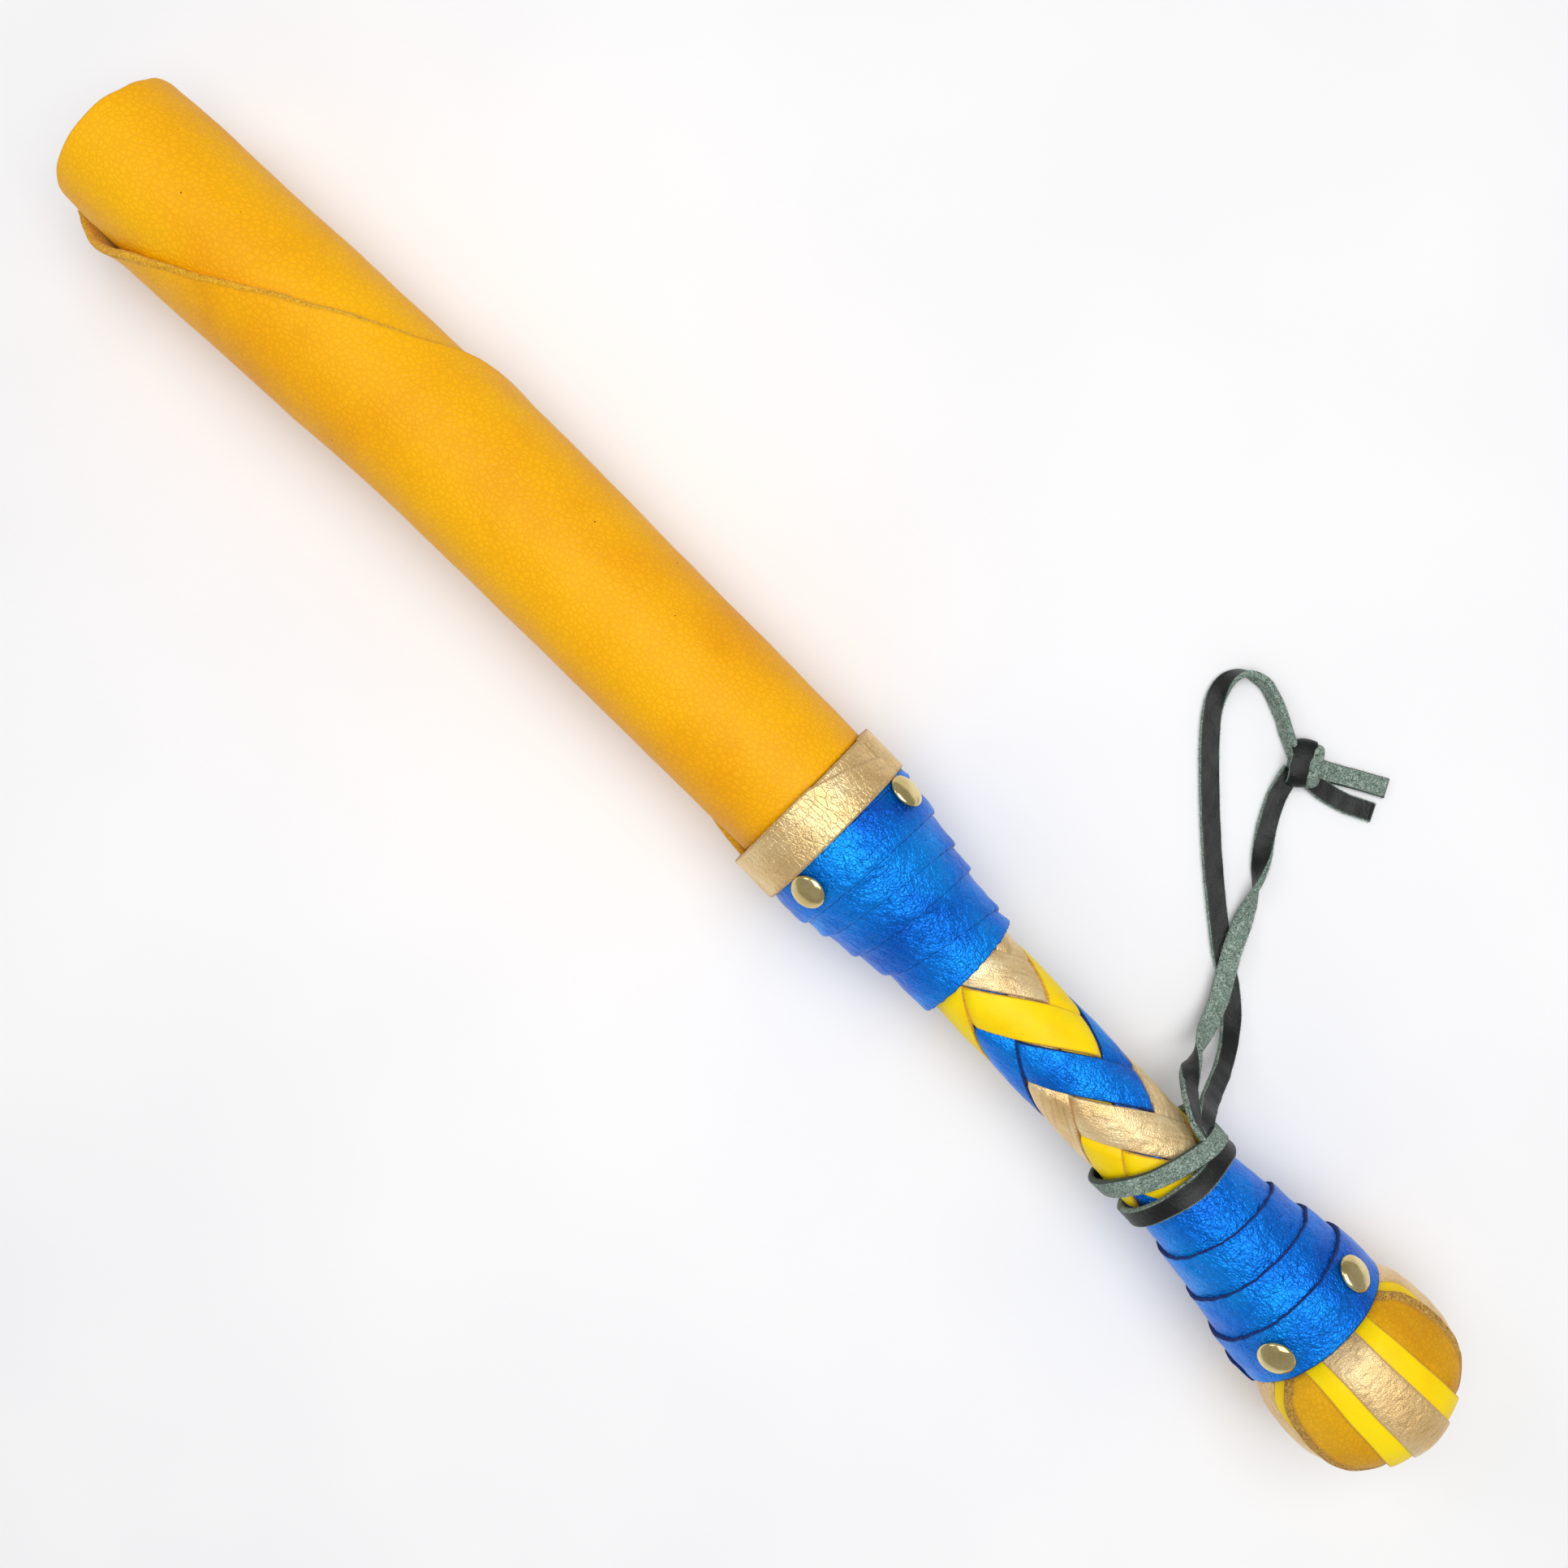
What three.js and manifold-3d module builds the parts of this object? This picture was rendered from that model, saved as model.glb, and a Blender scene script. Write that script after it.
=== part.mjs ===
// A leather-rolled training stick with a padded barrel, a braided handle, riveted collars,
// a layered pommel and a wrist lanyard. Millimetres, +Z up, the stick lies along X.
import * as THREE from 'three';
import { mergeVertices } from 'three/addons/utils/BufferGeometryUtils.js';
import Module from 'manifold-3d';

const wasm = await Module();
wasm.setup();

// ---- driving dimensions -------------------------------------------------------------------
// x is measured from the tip of the barrel, r from the stick's axis.
// theta is the angle about the axis: 0 is up, 90 is the lanyard's side.
const LENGTH = 472;
const GAP = 0.3;
const RING_SEGMENTS = 32;

const ROD_START = 4;
const ROD_END = 462;
const ROD_R = 7;
const PADDING_START = 1.5;
const PADDING_R = 14.7;
const SLEEVE_R = 9;
const UNDER_WRAP_R = 20.2;
const BARREL_R = 22.8;
const BARREL_END = 245;
const BAND_END = 258.3;
const BAND_R = 23.6;
const UNDER_WRAP_END = 262;

const COLLAR_STEPS_UPPER = [
  [269.5, 23.4], [275.4, 20.9], [281, 19.8], [287, 18.5], [293.2, 16.8], [308.5, 15.3],
];
const UPPER_BORE_START = 295.5;
const COLLAR_STEPS_LOWER = [
  [389.5, 0], [396.5, 15], [404.5, 16.5], [412.5, 18.1], [420.5, 20], [435.5, 21.8],
];
const LOWER_BORE_END = 403.5;

const BRAID_R = 13.3;
const STRAND_THICKNESS = 1.8;
const STRAND_CLEARANCE = 0.4;
const BRAID_PITCH = 115.5;
const STRANDS_EACH_WAY = 6;
const STRAND_COVER = 0.88;
const BRAID_RANGE = [302, 397];
const BRAID_PHASE = { x: 327.4, theta: 9.3 };

const RIVET = { capR: 4.5, capHeight: 1.7, rim: 0.5, stemR: 1.4, stemLength: 7 };
const RIVETS_UPPER = { x: 263.7, r: 23.4, angles: [52, -41, -131, 142] };
const RIVETS_LOWER = { x: 428, r: 21.8, angles: [46, -32, -128, 138] };

const POMMEL_START = 435.8;
const POMMEL_FLATTEN = 0.9;
const POMMEL_TOP = 28;
const COVER_THICKNESS = 1.7;
const CORE_INSET = 2.2;
const UNDER_LEAF = { lift: 0.4, thickness: 0.7, spread: 67 };
const LEAF = { lift: 1.4, thickness: 1.2, spread: 62 };
const STRAP_WIDE = { halfWidth: 11.5, lift: 3.6, thickness: 1 };
const STRAP_NARROW = { halfWidth: 6, lift: 5, thickness: 0.8 };
const STRAP_SWEEP = 110;

const LACE = { width: 5.5, thickness: 2 };
const HITCH_TURNS = [{ x: 377.2, tilt: 5.8 }, { x: 384.2, tilt: 2 }];
const BIGHT = { from: 375, to: 388.5, theta: 116, spread: 11, lift: 1.2 };

// How far the slightly bowed stick's axis stands to the lanyard's side, at equal steps along it.
const BOW = [-1.2, 1, 3.2, 3.8, 3.5, 2.6, 1.7, 0.6, 0];

// ---- helpers ------------------------------------------------------------------------------
const { degToRad, lerp, smoothstep, euclideanModulo } = THREE.MathUtils;

const bowCurve = new THREE.SplineCurve(
  BOW.map((y, n) => new THREE.Vector2((LENGTH * n) / (BOW.length - 1), y)));

function bow(x) {
  return bowCurve.getPoint(THREE.MathUtils.clamp(x / LENGTH, 0, 1)).y;
}

// A point on a cylinder about the stick's axis.
function around(x, r, theta) {
  const a = degToRad(theta);
  return new THREE.Vector3(x, r * Math.sin(a), r * Math.cos(a));
}

function signedVolume(geometry) {
  const p = geometry.attributes.position;
  const index = geometry.index;
  const corner = [new THREE.Vector3(), new THREE.Vector3(), new THREE.Vector3()];
  let volume = 0;
  for (let n = 0; n < index.count; n += 3) {
    corner.forEach((v, k) => v.fromBufferAttribute(p, index.getX(n + k)));
    volume += corner[0].dot(corner[1].clone().cross(corner[2])) / 6;
  }
  return volume;
}

// Merges shared corners and turns every face outwards.
function closed(geometry) {
  geometry.deleteAttribute('normal');
  geometry.deleteAttribute('uv');
  const merged = mergeVertices(geometry, 1e-4);
  if (signedVolume(merged) < 0) {
    const index = merged.index;
    for (let n = 0; n < index.count; n += 3) {
      const first = index.getX(n);
      index.setX(n, index.getX(n + 1));
      index.setX(n + 1, first);
    }
  }
  return merged;
}

// A box of u, v, w from 0 to 1, cut into a grid and bent so that each corner lands on place(u, v, w).
function sheet(uSteps, wSteps, place) {
  const geometry = new THREE.BoxGeometry(1, 1, 1, uSteps, 1, wSteps);
  const p = geometry.attributes.position;
  for (let n = 0; n < p.count; n += 1) {
    const to = place(p.getX(n) + 0.5, p.getY(n) + 0.5, p.getZ(n) + 0.5);
    p.setXYZ(n, to.x, to.y, to.z);
  }
  return closed(geometry);
}

// A body turned about the stick's axis from [x, r] points.
function turned(points, segments = RING_SEGMENTS) {
  const profile = points.map(([x, r]) => new THREE.Vector2(r, x));
  return closed(new THREE.LatheGeometry(profile, segments).rotateZ(-Math.PI / 2));
}

// A ring between two stations and two radii, with a ring of corners every 50 mm so that it can bow.
function ring(start, end, inner, outer, segments) {
  const steps = Math.max(1, Math.round((end - start) / 50));
  const stations = Array.from({ length: steps + 1 }, (_, n) => lerp(start, end, n / steps));
  const out = stations.map((x) => [x, outer]);
  if (inner === 0) return turned([[start, 0], ...out, [end, 0]], segments);
  const back = stations.map((x) => [x, inner]).reverse();
  return turned([...out, ...back, out[0]], segments);
}

function toManifold(geometry) {
  return new wasm.Manifold(new wasm.Mesh({
    numProp: 3,
    vertProperties: new Float32Array(geometry.attributes.position.array),
    triVerts: new Uint32Array(geometry.index.array),
  }));
}

function fromManifold(solid) {
  const mesh = solid.getMesh();
  const geometry = new THREE.BufferGeometry();
  geometry.setAttribute('position', new THREE.BufferAttribute(new Float32Array(mesh.vertProperties), 3));
  geometry.setIndex(Array.from(mesh.triVerts));
  return geometry;
}

function cut(geometry, tools) {
  return fromManifold(tools.reduce((solid, tool) => solid.subtract(toManifold(tool)), toManifold(geometry)));
}

function joined(...geometries) {
  return fromManifold(geometries.map(toManifold).reduce((all, one) => all.add(one)));
}

// ---- materials ----------------------------------------------------------------------------
function finish(color, roughness, metalness = 0) {
  return () => new THREE.MeshStandardMaterial({ color, roughness, metalness });
}

const materials = {
  yellow: finish(0xfab205, 0.55),
  lemon: finish(0xffde00, 0.5),
  mustard: finish(0xdea50f, 0.6),
  gold: finish(0xcdaa69, 0.35, 0.6),
  blue: finish(0x006ee6, 0.35, 0.5),
  black: finish(0x232623, 0.6),
  brass: finish(0xc8b473, 0.3, 1),
  wood: finish(0xb98d5c, 0.7),
  foam: finish(0xd9d2c0, 0.9),
};

const stick = new THREE.Group();
const lanyard = new THREE.Group();

function bowed(geometry) {
  const p = geometry.attributes.position;
  for (let n = 0; n < p.count; n += 1) p.setY(n, p.getY(n) + bow(p.getX(n)));
  return geometry;
}

function add(group, name, material, geometry) {
  if (group === stick) bowed(geometry);
  geometry.computeVertexNormals();
  const mesh = new THREE.Mesh(geometry, materials[material]());
  mesh.name = name;
  group.add(mesh);
}

// ---- core ---------------------------------------------------------------------------------
add(stick, 'core_rod', 'wood', ring(ROD_START, ROD_END, 0, ROD_R, 12));
add(stick, 'barrel_padding', 'foam', ring(PADDING_START, UNDER_WRAP_END, ROD_R + GAP, PADDING_R, 20));
add(stick, 'handle_padding', 'foam',
  ring(UPPER_BORE_START + GAP, LOWER_BORE_END - GAP, ROD_R + GAP, SLEEVE_R, 16));

// ---- barrel -------------------------------------------------------------------------------
// The outer turn's free edge climbs round the barrel: [theta, x] from the tip to the band.
const FREE_EDGE = [
  [-115, 0.5], [-90, 14.4], [-57, 28.2], [-29, 48.5], [-9, 61.8], [8, 75.4], [24, 85.7], [43, 98.5],
  [70, 109.5], [90, 117], [130, 140], [170, 165], [210, 201], [243.5, 228],
];

function freeEdge(theta) {
  const n = Math.max(1, FREE_EDGE.findIndex(([angle]) => angle >= theta));
  const [[a0, x0], [a1, x1]] = [FREE_EDGE[n - 1], FREE_EDGE[n]];
  return lerp(x0, x1, (theta - a0) / (a1 - a0));
}

const OUTER_TURN = { from: -115, to: 243.5, skive: 18, thin: 0.6 };

function outerTurn(u, v, w) {
  const { from, to, skive, thin } = OUTER_TURN;
  const theta = lerp(from, to, w);
  const full = BARREL_R - UNDER_WRAP_R - GAP;
  const thickness = lerp(thin, full, smoothstep(theta, from, from + skive));
  return around(lerp(freeEdge(theta), BARREL_END, u), UNDER_WRAP_R + GAP + v * thickness, theta);
}

const upperStems = rivetTools(RIVETS_UPPER);
add(stick, 'barrel_under_wrap', 'yellow',
  cut(ring(0, UNDER_WRAP_END, PADDING_R + GAP, UNDER_WRAP_R), upperStems));
add(stick, 'barrel_outer_turn', 'yellow', sheet(6, 34, outerTurn));

// ---- gold band: two turns -----------------------------------------------------------------
const BAND_SPLIT_R = (UNDER_WRAP_R + BAND_R) / 2;
add(stick, 'band_lower_turn', 'gold', ring(BARREL_END + GAP, BAND_END, UNDER_WRAP_R + GAP, BAND_SPLIT_R));

// The upper turn's front edge runs out to one side, so a wedge of the lower turn shows.
const BAND_WEDGE = { from: 5, to: 62, depth: 7.5 };

function upperBandTurn(u, v, w) {
  const theta = lerp(BAND_WEDGE.to - 358, BAND_WEDGE.to, w);
  const open = Math.max(0, (theta - BAND_WEDGE.from) / (BAND_WEDGE.to - BAND_WEDGE.from));
  const start = BARREL_END + GAP + BAND_WEDGE.depth * open;
  return around(lerp(start, BAND_END, u), lerp(BAND_SPLIT_R + GAP, BAND_R, v), theta);
}

add(stick, 'band_upper_turn', 'gold', sheet(1, 36, upperBandTurn));

// ---- collars ------------------------------------------------------------------------------
function steps(start, stations) {
  const points = [];
  let x = start;
  stations.forEach(([end, r]) => {
    points.push([x, r], [end, r]);
    x = end;
  });
  return points;
}

// A tool for each rivet's stem hole, a little wider and deeper than the stem.
function rivetTools({ x, r, angles }) {
  return angles.map((theta) => {
    const length = RIVET.stemLength + GAP;
    const tool = new THREE.CylinderGeometry(RIVET.stemR + GAP, RIVET.stemR + GAP, length + 2, 10);
    return closed(onSurface(tool.translate(0, 1 - length / 2, 0), x, r, theta));
  });
}

// Turns a body that stands along +Y so that it stands out of the stick at x, r, theta.
function onSurface(geometry, x, r, theta) {
  const at = around(x, r, theta);
  return geometry.rotateX(degToRad(90 - theta)).translate(at.x, at.y, at.z);
}

function rivet({ x, r }, theta) {
  const { capR, capHeight, rim, stemR, stemLength } = RIVET;
  const points = [[0, -stemLength], [stemR, -stemLength], [stemR, 0], [capR, 0], [capR, rim]];
  for (let n = 1; n < 3; n += 1) {
    const a = degToRad(30 * n);
    points.push([capR * Math.cos(a), rim + (capHeight - rim) * Math.sin(a)]);
  }
  points.push([0, capHeight]);
  const profile = points.map(([px, py]) => new THREE.Vector2(px, py));
  return closed(onSurface(new THREE.LatheGeometry(profile, 12), x, r + GAP, theta));
}

const upperStart = BAND_END + GAP;
const upperCollar = turned([
  ...steps(upperStart, COLLAR_STEPS_UPPER),
  [308.5, BRAID_R + GAP], [UPPER_BORE_START, BRAID_R + GAP], [UPPER_BORE_START, ROD_R + GAP],
  [UNDER_WRAP_END + GAP, ROD_R + GAP], [UNDER_WRAP_END + GAP, UNDER_WRAP_R + GAP],
  [upperStart, UNDER_WRAP_R + GAP], [upperStart, COLLAR_STEPS_UPPER[0][1]],
], 24);
add(stick, 'upper_collar', 'blue', cut(upperCollar, upperStems));

const lowerStart = COLLAR_STEPS_LOWER[0][0];
const lowerEnd = COLLAR_STEPS_LOWER.at(-1)[0];
const lowerCollar = turned([
  ...steps(lowerStart, COLLAR_STEPS_LOWER.slice(1)),
  [lowerEnd, ROD_R + GAP], [LOWER_BORE_END, ROD_R + GAP], [LOWER_BORE_END, BRAID_R + GAP],
  [lowerStart, BRAID_R + GAP], [lowerStart, COLLAR_STEPS_LOWER[1][1]],
], 24);
add(stick, 'lower_collar', 'blue', cut(lowerCollar, rivetTools(RIVETS_LOWER)));

[['upper', RIVETS_UPPER], ['lower', RIVETS_LOWER]].forEach(([name, row]) => {
  row.angles.forEach((theta, n) => add(stick, `${name}_rivet_${n + 1}`, 'brass', rivet(row, theta)));
});

// ---- braided handle -----------------------------------------------------------------------
// Six flat strands climb each way. p = theta - k x is constant along a strand of the first family and
// q = theta + k x along one of the second. Each passes over three and under three, so the families
// take turns on top in four quarter columns.
const K = 360 / BRAID_PITCH;
const SPACING = 360 / STRANDS_EACH_WAY;
const HALF = (SPACING * STRAND_COVER) / 2;
const P0 = -K * BRAID_PHASE.x;
const Q0 = 2 * BRAID_PHASE.theta - P0;
const BRAID_COLORS = ['yellow', 'gold', 'blue'];

function strand(family, index) {
  const own = (family === 1 ? P0 : Q0) + SPACING * index;
  const otherOrigin = family === 1 ? Q0 : P0;
  const sign = family === 1 ? 1 : -1;
  const ends = BRAID_RANGE.map((x) => own + sign * 2 * K * x).sort((a, b) => a - b);
  const rows = [];
  const firstCell = Math.floor((ends[0] - otherOrigin) / SPACING) - 1;
  const lastCell = Math.ceil((ends[1] - otherOrigin) / SPACING) + 1;
  for (let cell = firstCell; cell <= lastCell; cell += 1) {
    const firstOnTop = [5, 0, 1].includes(euclideanModulo(index + cell, 6));
    const top = (family === 1) === firstOnTop;
    [-1, -1 / 3, 1 / 3, 1].forEach((f) => {
      const along = otherOrigin + SPACING * cell + f * HALF;
      if (along > ends[0] && along < ends[1]) rows.push({ along, top });
    });
  }
  return sheet(rows.length - 1, 2, (u, v, w) => {
    const row = rows[Math.round(u * (rows.length - 1))];
    const across = own + lerp(-HALF, HALF, w);
    const [p, q] = family === 1 ? [across, row.along] : [row.along, across];
    const outer = row.top ? BRAID_R : BRAID_R - STRAND_THICKNESS - STRAND_CLEARANCE;
    return around((q - p) / (2 * K), outer - (1 - v) * STRAND_THICKNESS, (p + q) / 2);
  });
}

for (let n = 0; n < STRANDS_EACH_WAY; n += 1) {
  const second = euclideanModulo(-2 - n, 3);
  add(stick, `braid_strand_right_${n + 1}`, BRAID_COLORS[n % 3], strand(1, n));
  add(stick, `braid_strand_left_${n + 1}`, BRAID_COLORS[second], strand(2, n));
}

// ---- pommel -------------------------------------------------------------------------------
// Half the knob's outline, [x, r], from the collar round to the end's centre.
const KNOB = [
  [POMMEL_START, 20.4], [438.5, 22.6], [442, 24.1], [447, 25], [452, 25.3], [457, 25], [461, 23.9],
  [464.2, 21.6], [466.2, 18.2], [467, 13.5],
];
const KNOB_END = LENGTH - 5;
const KNOB_BORE = ROD_R / POMMEL_FLATTEN + GAP;

function knobRadius(x) {
  const n = Math.max(1, KNOB.findIndex(([station]) => station >= x));
  const [[x0, r0], [x1, r1]] = [KNOB[n - 1], KNOB[n]];
  return lerp(r0, r1, (x - x0) / (x1 - x0));
}

function flattened(point) {
  point.z *= POMMEL_FLATTEN;
  return point;
}

const coreTop = KNOB_END - CORE_INSET;
const coreOutline = KNOB.map(([x, r]) => [Math.min(x, coreTop), r - CORE_INSET]);
const knobCore = turned([
  [POMMEL_START, KNOB_BORE], ...coreOutline, [coreTop, 0],
  [ROD_END + 1, 0], [ROD_END + 1, KNOB_BORE], [POMMEL_START, KNOB_BORE],
], 24);
add(stick, 'pommel_core', 'foam', knobCore.scale(1, 1, POMMEL_FLATTEN));

const coverInside = KNOB_END - COVER_THICKNESS;
const inside = KNOB.map(([x, r]) => [Math.min(x, coverInside), r - COVER_THICKNESS]).reverse();
const knobCover = turned([...KNOB, [KNOB_END, 0], [coverInside, 0], ...inside, KNOB[0]], 24);
add(stick, 'pommel_cover', 'gold', knobCover.scale(1, 1, POMMEL_FLATTEN));

// Tongue-shaped leaves lie on the front and the back of the knob.
const LEAF_STATIONS = [436.2, ...KNOB.slice(1, 8).map(([x]) => x)];
const LEAF_OUTLINE = { widest: 0.52, end: 0.66, power: 2.4 };

function leaf(facing, { lift, thickness, spread }) {
  const { widest, end: tongue, power } = LEAF_OUTLINE;
  const rows = LEAF_STATIONS.length - 1;
  const [start, end] = [LEAF_STATIONS[0], LEAF_STATIONS[rows]];
  return sheet(rows, 12, (u, v, w) => {
    const x = LEAF_STATIONS[Math.round(u * rows)];
    const reach = (x - start) / (end - start);
    const half = spread * Math.sqrt(1 - (Math.abs(reach - widest) / tongue) ** power);
    const r = knobRadius(x) + lift + v * thickness;
    return flattened(around(x, r, facing + lerp(-half, half, w)));
  });
}

[['front', 0], ['back', 180]].forEach(([side, facing]) => {
  add(stick, `pommel_under_leaf_${side}`, 'lemon', leaf(facing, UNDER_LEAF));
  add(stick, `pommel_leaf_${side}`, 'mustard', leaf(facing, LEAF));
});

// Straps run from the collar over the knob's end and back to the collar on the other side.
const STRAP_HUB = 446;

// The point of the knob's side seen from the hub at the angle alpha above +X, at a distance y to the side.
function onKnob(alpha, y, lift) {
  const direction = new THREE.Vector2(Math.cos(alpha), Math.sin(alpha));
  let low = 0;
  let high = 60;
  for (let n = 0; n < 30; n += 1) {
    const middle = (low + high) / 2;
    const x = STRAP_HUB + middle * direction.x;
    const z = middle * direction.y;
    const isInside = x < KNOB_END && Math.hypot(y, z) < knobRadius(Math.max(x, POMMEL_START));
    if (isInside) low = middle;
    else high = middle;
  }
  const reach = low + lift;
  return new THREE.Vector3(STRAP_HUB + reach * direction.x, y, reach * direction.y * POMMEL_FLATTEN);
}

function strap({ halfWidth, lift, thickness }, acrossSteps) {
  return sheet(26, acrossSteps, (u, v, w) => {
    const alpha = lerp(degToRad(STRAP_SWEEP), degToRad(-STRAP_SWEEP), u);
    const overLeaf = Math.abs(Math.sin(alpha)) > 0.6 ? 1 : 0.9;
    return onKnob(alpha, lerp(-halfWidth, halfWidth, w), lift * overLeaf + v * thickness);
  });
}

add(stick, 'pommel_strap_wide', 'lemon', strap(STRAP_WIDE, 4));
add(stick, 'pommel_strap_narrow', 'gold', strap(STRAP_NARROW, 2));

// ---- lanyard ------------------------------------------------------------------------------
// z of these points is measured from the stick's axis; the flat lace lies on the table below it.
const TABLE = -POMMEL_TOP;
const LYING = TABLE + LACE.thickness / 2 + 0.15;
const HITCH_R = BRAID_R + 0.85;

function hitchTurn({ x, tilt }) {
  const half = LACE.width / 2;
  const geometry = turned([
    [-half, HITCH_R], [-half, HITCH_R + LACE.thickness], [half, HITCH_R + LACE.thickness], [half, HITCH_R],
    [-half, HITCH_R],
  ], 32);
  const p = geometry.attributes.position;
  for (let n = 0; n < p.count; n += 1) {
    const theta = Math.atan2(p.getY(n), p.getZ(n));
    p.setX(n, p.getX(n) + x + tilt * Math.sin(theta));
  }
  return geometry;
}

function hitchBight(u, v, w) {
  const r = HITCH_R + BIGHT.lift + LACE.thickness * v;
  return around(lerp(BIGHT.from, BIGHT.to, u), r, BIGHT.theta + lerp(-BIGHT.spread, BIGHT.spread, w));
}

const hitch = joined(...HITCH_TURNS.map(hitchTurn), sheet(2, 3, hitchBight));

const STRAND_1 = [
  [377.4, 18.8, 3], [377.9, 21.2, -3], [378.4, 25.4, -10], [378.3, 31, -17], [376.6, 37, -22.4],
  [372.6, 43.5, -25.6], [366.5, 49.3, LYING], [358.5, 54.5, LYING], [350.2, 61.1, LYING], [343, 67, LYING],
  [335, 74, LYING], [325, 83.4, LYING], [316.2, 92.2, LYING], [309.6, 100.1, LYING], [306.6, 107.3, LYING],
  [308.6, 113, LYING], [314.8, 114.8, LYING], [322, 112.6, LYING], [328.4, 109.4, LYING + 0.3],
  [332, 107.6, LYING + 0.8],
];
const STRAND_2 = [
  [371.2, 18.8, 3], [370.6, 21.2, -3], [369.7, 25.4, -10], [369.3, 31, -16.6], [368.3, 37.5, -21.2],
  [366.2, 44, -23.2], [363, 50.2, -23.9], [359.4, 56.8, -24.3], [356.4, 64, -25.3], [353, 72.2, LYING],
  [348.1, 79.8, LYING], [342.8, 88, LYING], [339.4, 94.6, LYING], [337.9, 99, LYING + 0.6],
];

// A flat lace along a route. It leaves the hitch flat against the handle and lies down on the table:
// it turns over between these distances from the hitch.
const TURNS_OVER = [8, 45];
const LACE_STEP = 9;

function lace(points, tail = 0) {
  const route = new THREE.CatmullRomCurve3(points.map((point) => new THREE.Vector3(...point)));
  const long = route.getLength();
  const half = LACE.width / 2;
  const flat = LACE.thickness / 2;
  const section = new THREE.Shape([
    [-half, -flat / 2], [-half * 0.8, -flat], [half * 0.8, -flat], [half, -flat / 2],
    [half, flat / 2], [half * 0.8, flat], [-half * 0.8, flat], [-half, flat / 2],
  ].map(([x, y]) => new THREE.Vector2(x, y)));
  const geometry = new THREE.ExtrudeGeometry(section, {
    depth: 1, steps: Math.max(3, Math.round(long / LACE_STEP)), bevelEnabled: false,
  });
  const p = geometry.attributes.position;
  const up = new THREE.Vector3();
  for (let n = 0; n < p.count; n += 1) {
    const t = p.getZ(n);
    const along = route.getTangentAt(t);
    up.set(0, 1, 0).lerp(new THREE.Vector3(0, 0, 1), smoothstep(t * long + tail, ...TURNS_OVER));
    const side = along.clone().cross(up).normalize();
    const normal = side.clone().cross(along).normalize();
    const at = route.getPointAt(t).addScaledVector(side, p.getX(n)).addScaledVector(normal, p.getY(n));
    p.setXYZ(n, at.x, at.y, at.z);
  }
  return closed(geometry);
}

const LYING_FROM_START = 60;
const KNOT = { x: 338.2, y: 106.4, rx: 5.9, ry: 6.8, height: 6.4 };
const TAIL_1 = [[339, 107.5, LYING + 0.4], [345.5, 110.9, LYING], [352, 114.6, LYING], [359, 118.4, LYING]];
const TAIL_2 = [[339.5, 105, LYING + 0.8], [346.5, 105.6, LYING], [353.5, 107.4, LYING], [361, 111, LYING]];

function knotBall() {
  const ball = new THREE.SphereGeometry(1, 12, 8).rotateX(Math.PI / 2);
  ball.scale(KNOT.rx, KNOT.ry, KNOT.height / 2);
  return closed(ball.translate(KNOT.x, KNOT.y, TABLE + KNOT.height / 2));
}

const knot = joined(knotBall(), lace(TAIL_1, LYING_FROM_START), lace(TAIL_2, LYING_FROM_START));

add(lanyard, 'lanyard_hitch', 'black', bowed(hitch));
add(lanyard, 'lanyard_strand_1', 'black', lace(STRAND_1));
add(lanyard, 'lanyard_strand_2', 'black', lace(STRAND_2));
add(lanyard, 'lanyard_knot', 'black', knot);

// ---- place the part -----------------------------------------------------------------------
// The origin is the middle of the stick's own box, on the surface that the part lies on.
const box = new THREE.Box3().setFromObject(stick);
const middle = box.getCenter(new THREE.Vector3());
const part = new THREE.Group();
part.add(stick, lanyard);
part.position.set(-middle.x, -middle.y, POMMEL_TOP);

export default part;
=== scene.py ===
import math

import bpy
import numpy as np
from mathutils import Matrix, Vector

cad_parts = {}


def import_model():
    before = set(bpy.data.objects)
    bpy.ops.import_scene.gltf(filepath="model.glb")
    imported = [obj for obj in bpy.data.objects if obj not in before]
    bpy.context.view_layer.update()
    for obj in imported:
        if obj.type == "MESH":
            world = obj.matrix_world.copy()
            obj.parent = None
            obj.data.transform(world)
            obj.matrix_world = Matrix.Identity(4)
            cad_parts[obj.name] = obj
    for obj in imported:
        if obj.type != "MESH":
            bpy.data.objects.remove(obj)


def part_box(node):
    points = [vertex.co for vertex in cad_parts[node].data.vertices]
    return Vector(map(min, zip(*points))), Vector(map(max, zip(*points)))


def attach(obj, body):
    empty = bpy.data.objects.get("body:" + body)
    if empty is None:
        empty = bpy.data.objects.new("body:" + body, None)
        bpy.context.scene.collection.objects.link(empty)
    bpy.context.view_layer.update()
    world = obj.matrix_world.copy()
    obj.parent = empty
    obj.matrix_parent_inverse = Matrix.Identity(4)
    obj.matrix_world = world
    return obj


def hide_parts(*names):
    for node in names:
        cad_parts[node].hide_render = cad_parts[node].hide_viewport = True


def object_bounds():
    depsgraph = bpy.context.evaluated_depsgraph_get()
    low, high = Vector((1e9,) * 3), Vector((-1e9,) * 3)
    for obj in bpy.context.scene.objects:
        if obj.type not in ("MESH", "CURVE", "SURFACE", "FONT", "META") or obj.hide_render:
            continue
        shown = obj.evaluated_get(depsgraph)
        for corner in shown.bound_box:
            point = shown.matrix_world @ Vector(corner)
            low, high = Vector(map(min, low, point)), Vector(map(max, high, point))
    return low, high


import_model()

for start_name in ("Cube", "Light", "Camera"):
    if start_name in bpy.data.objects:
        bpy.data.objects.remove(bpy.data.objects[start_name])
START_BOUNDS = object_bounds()
MM = 0.001
WAVES = 6

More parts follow.
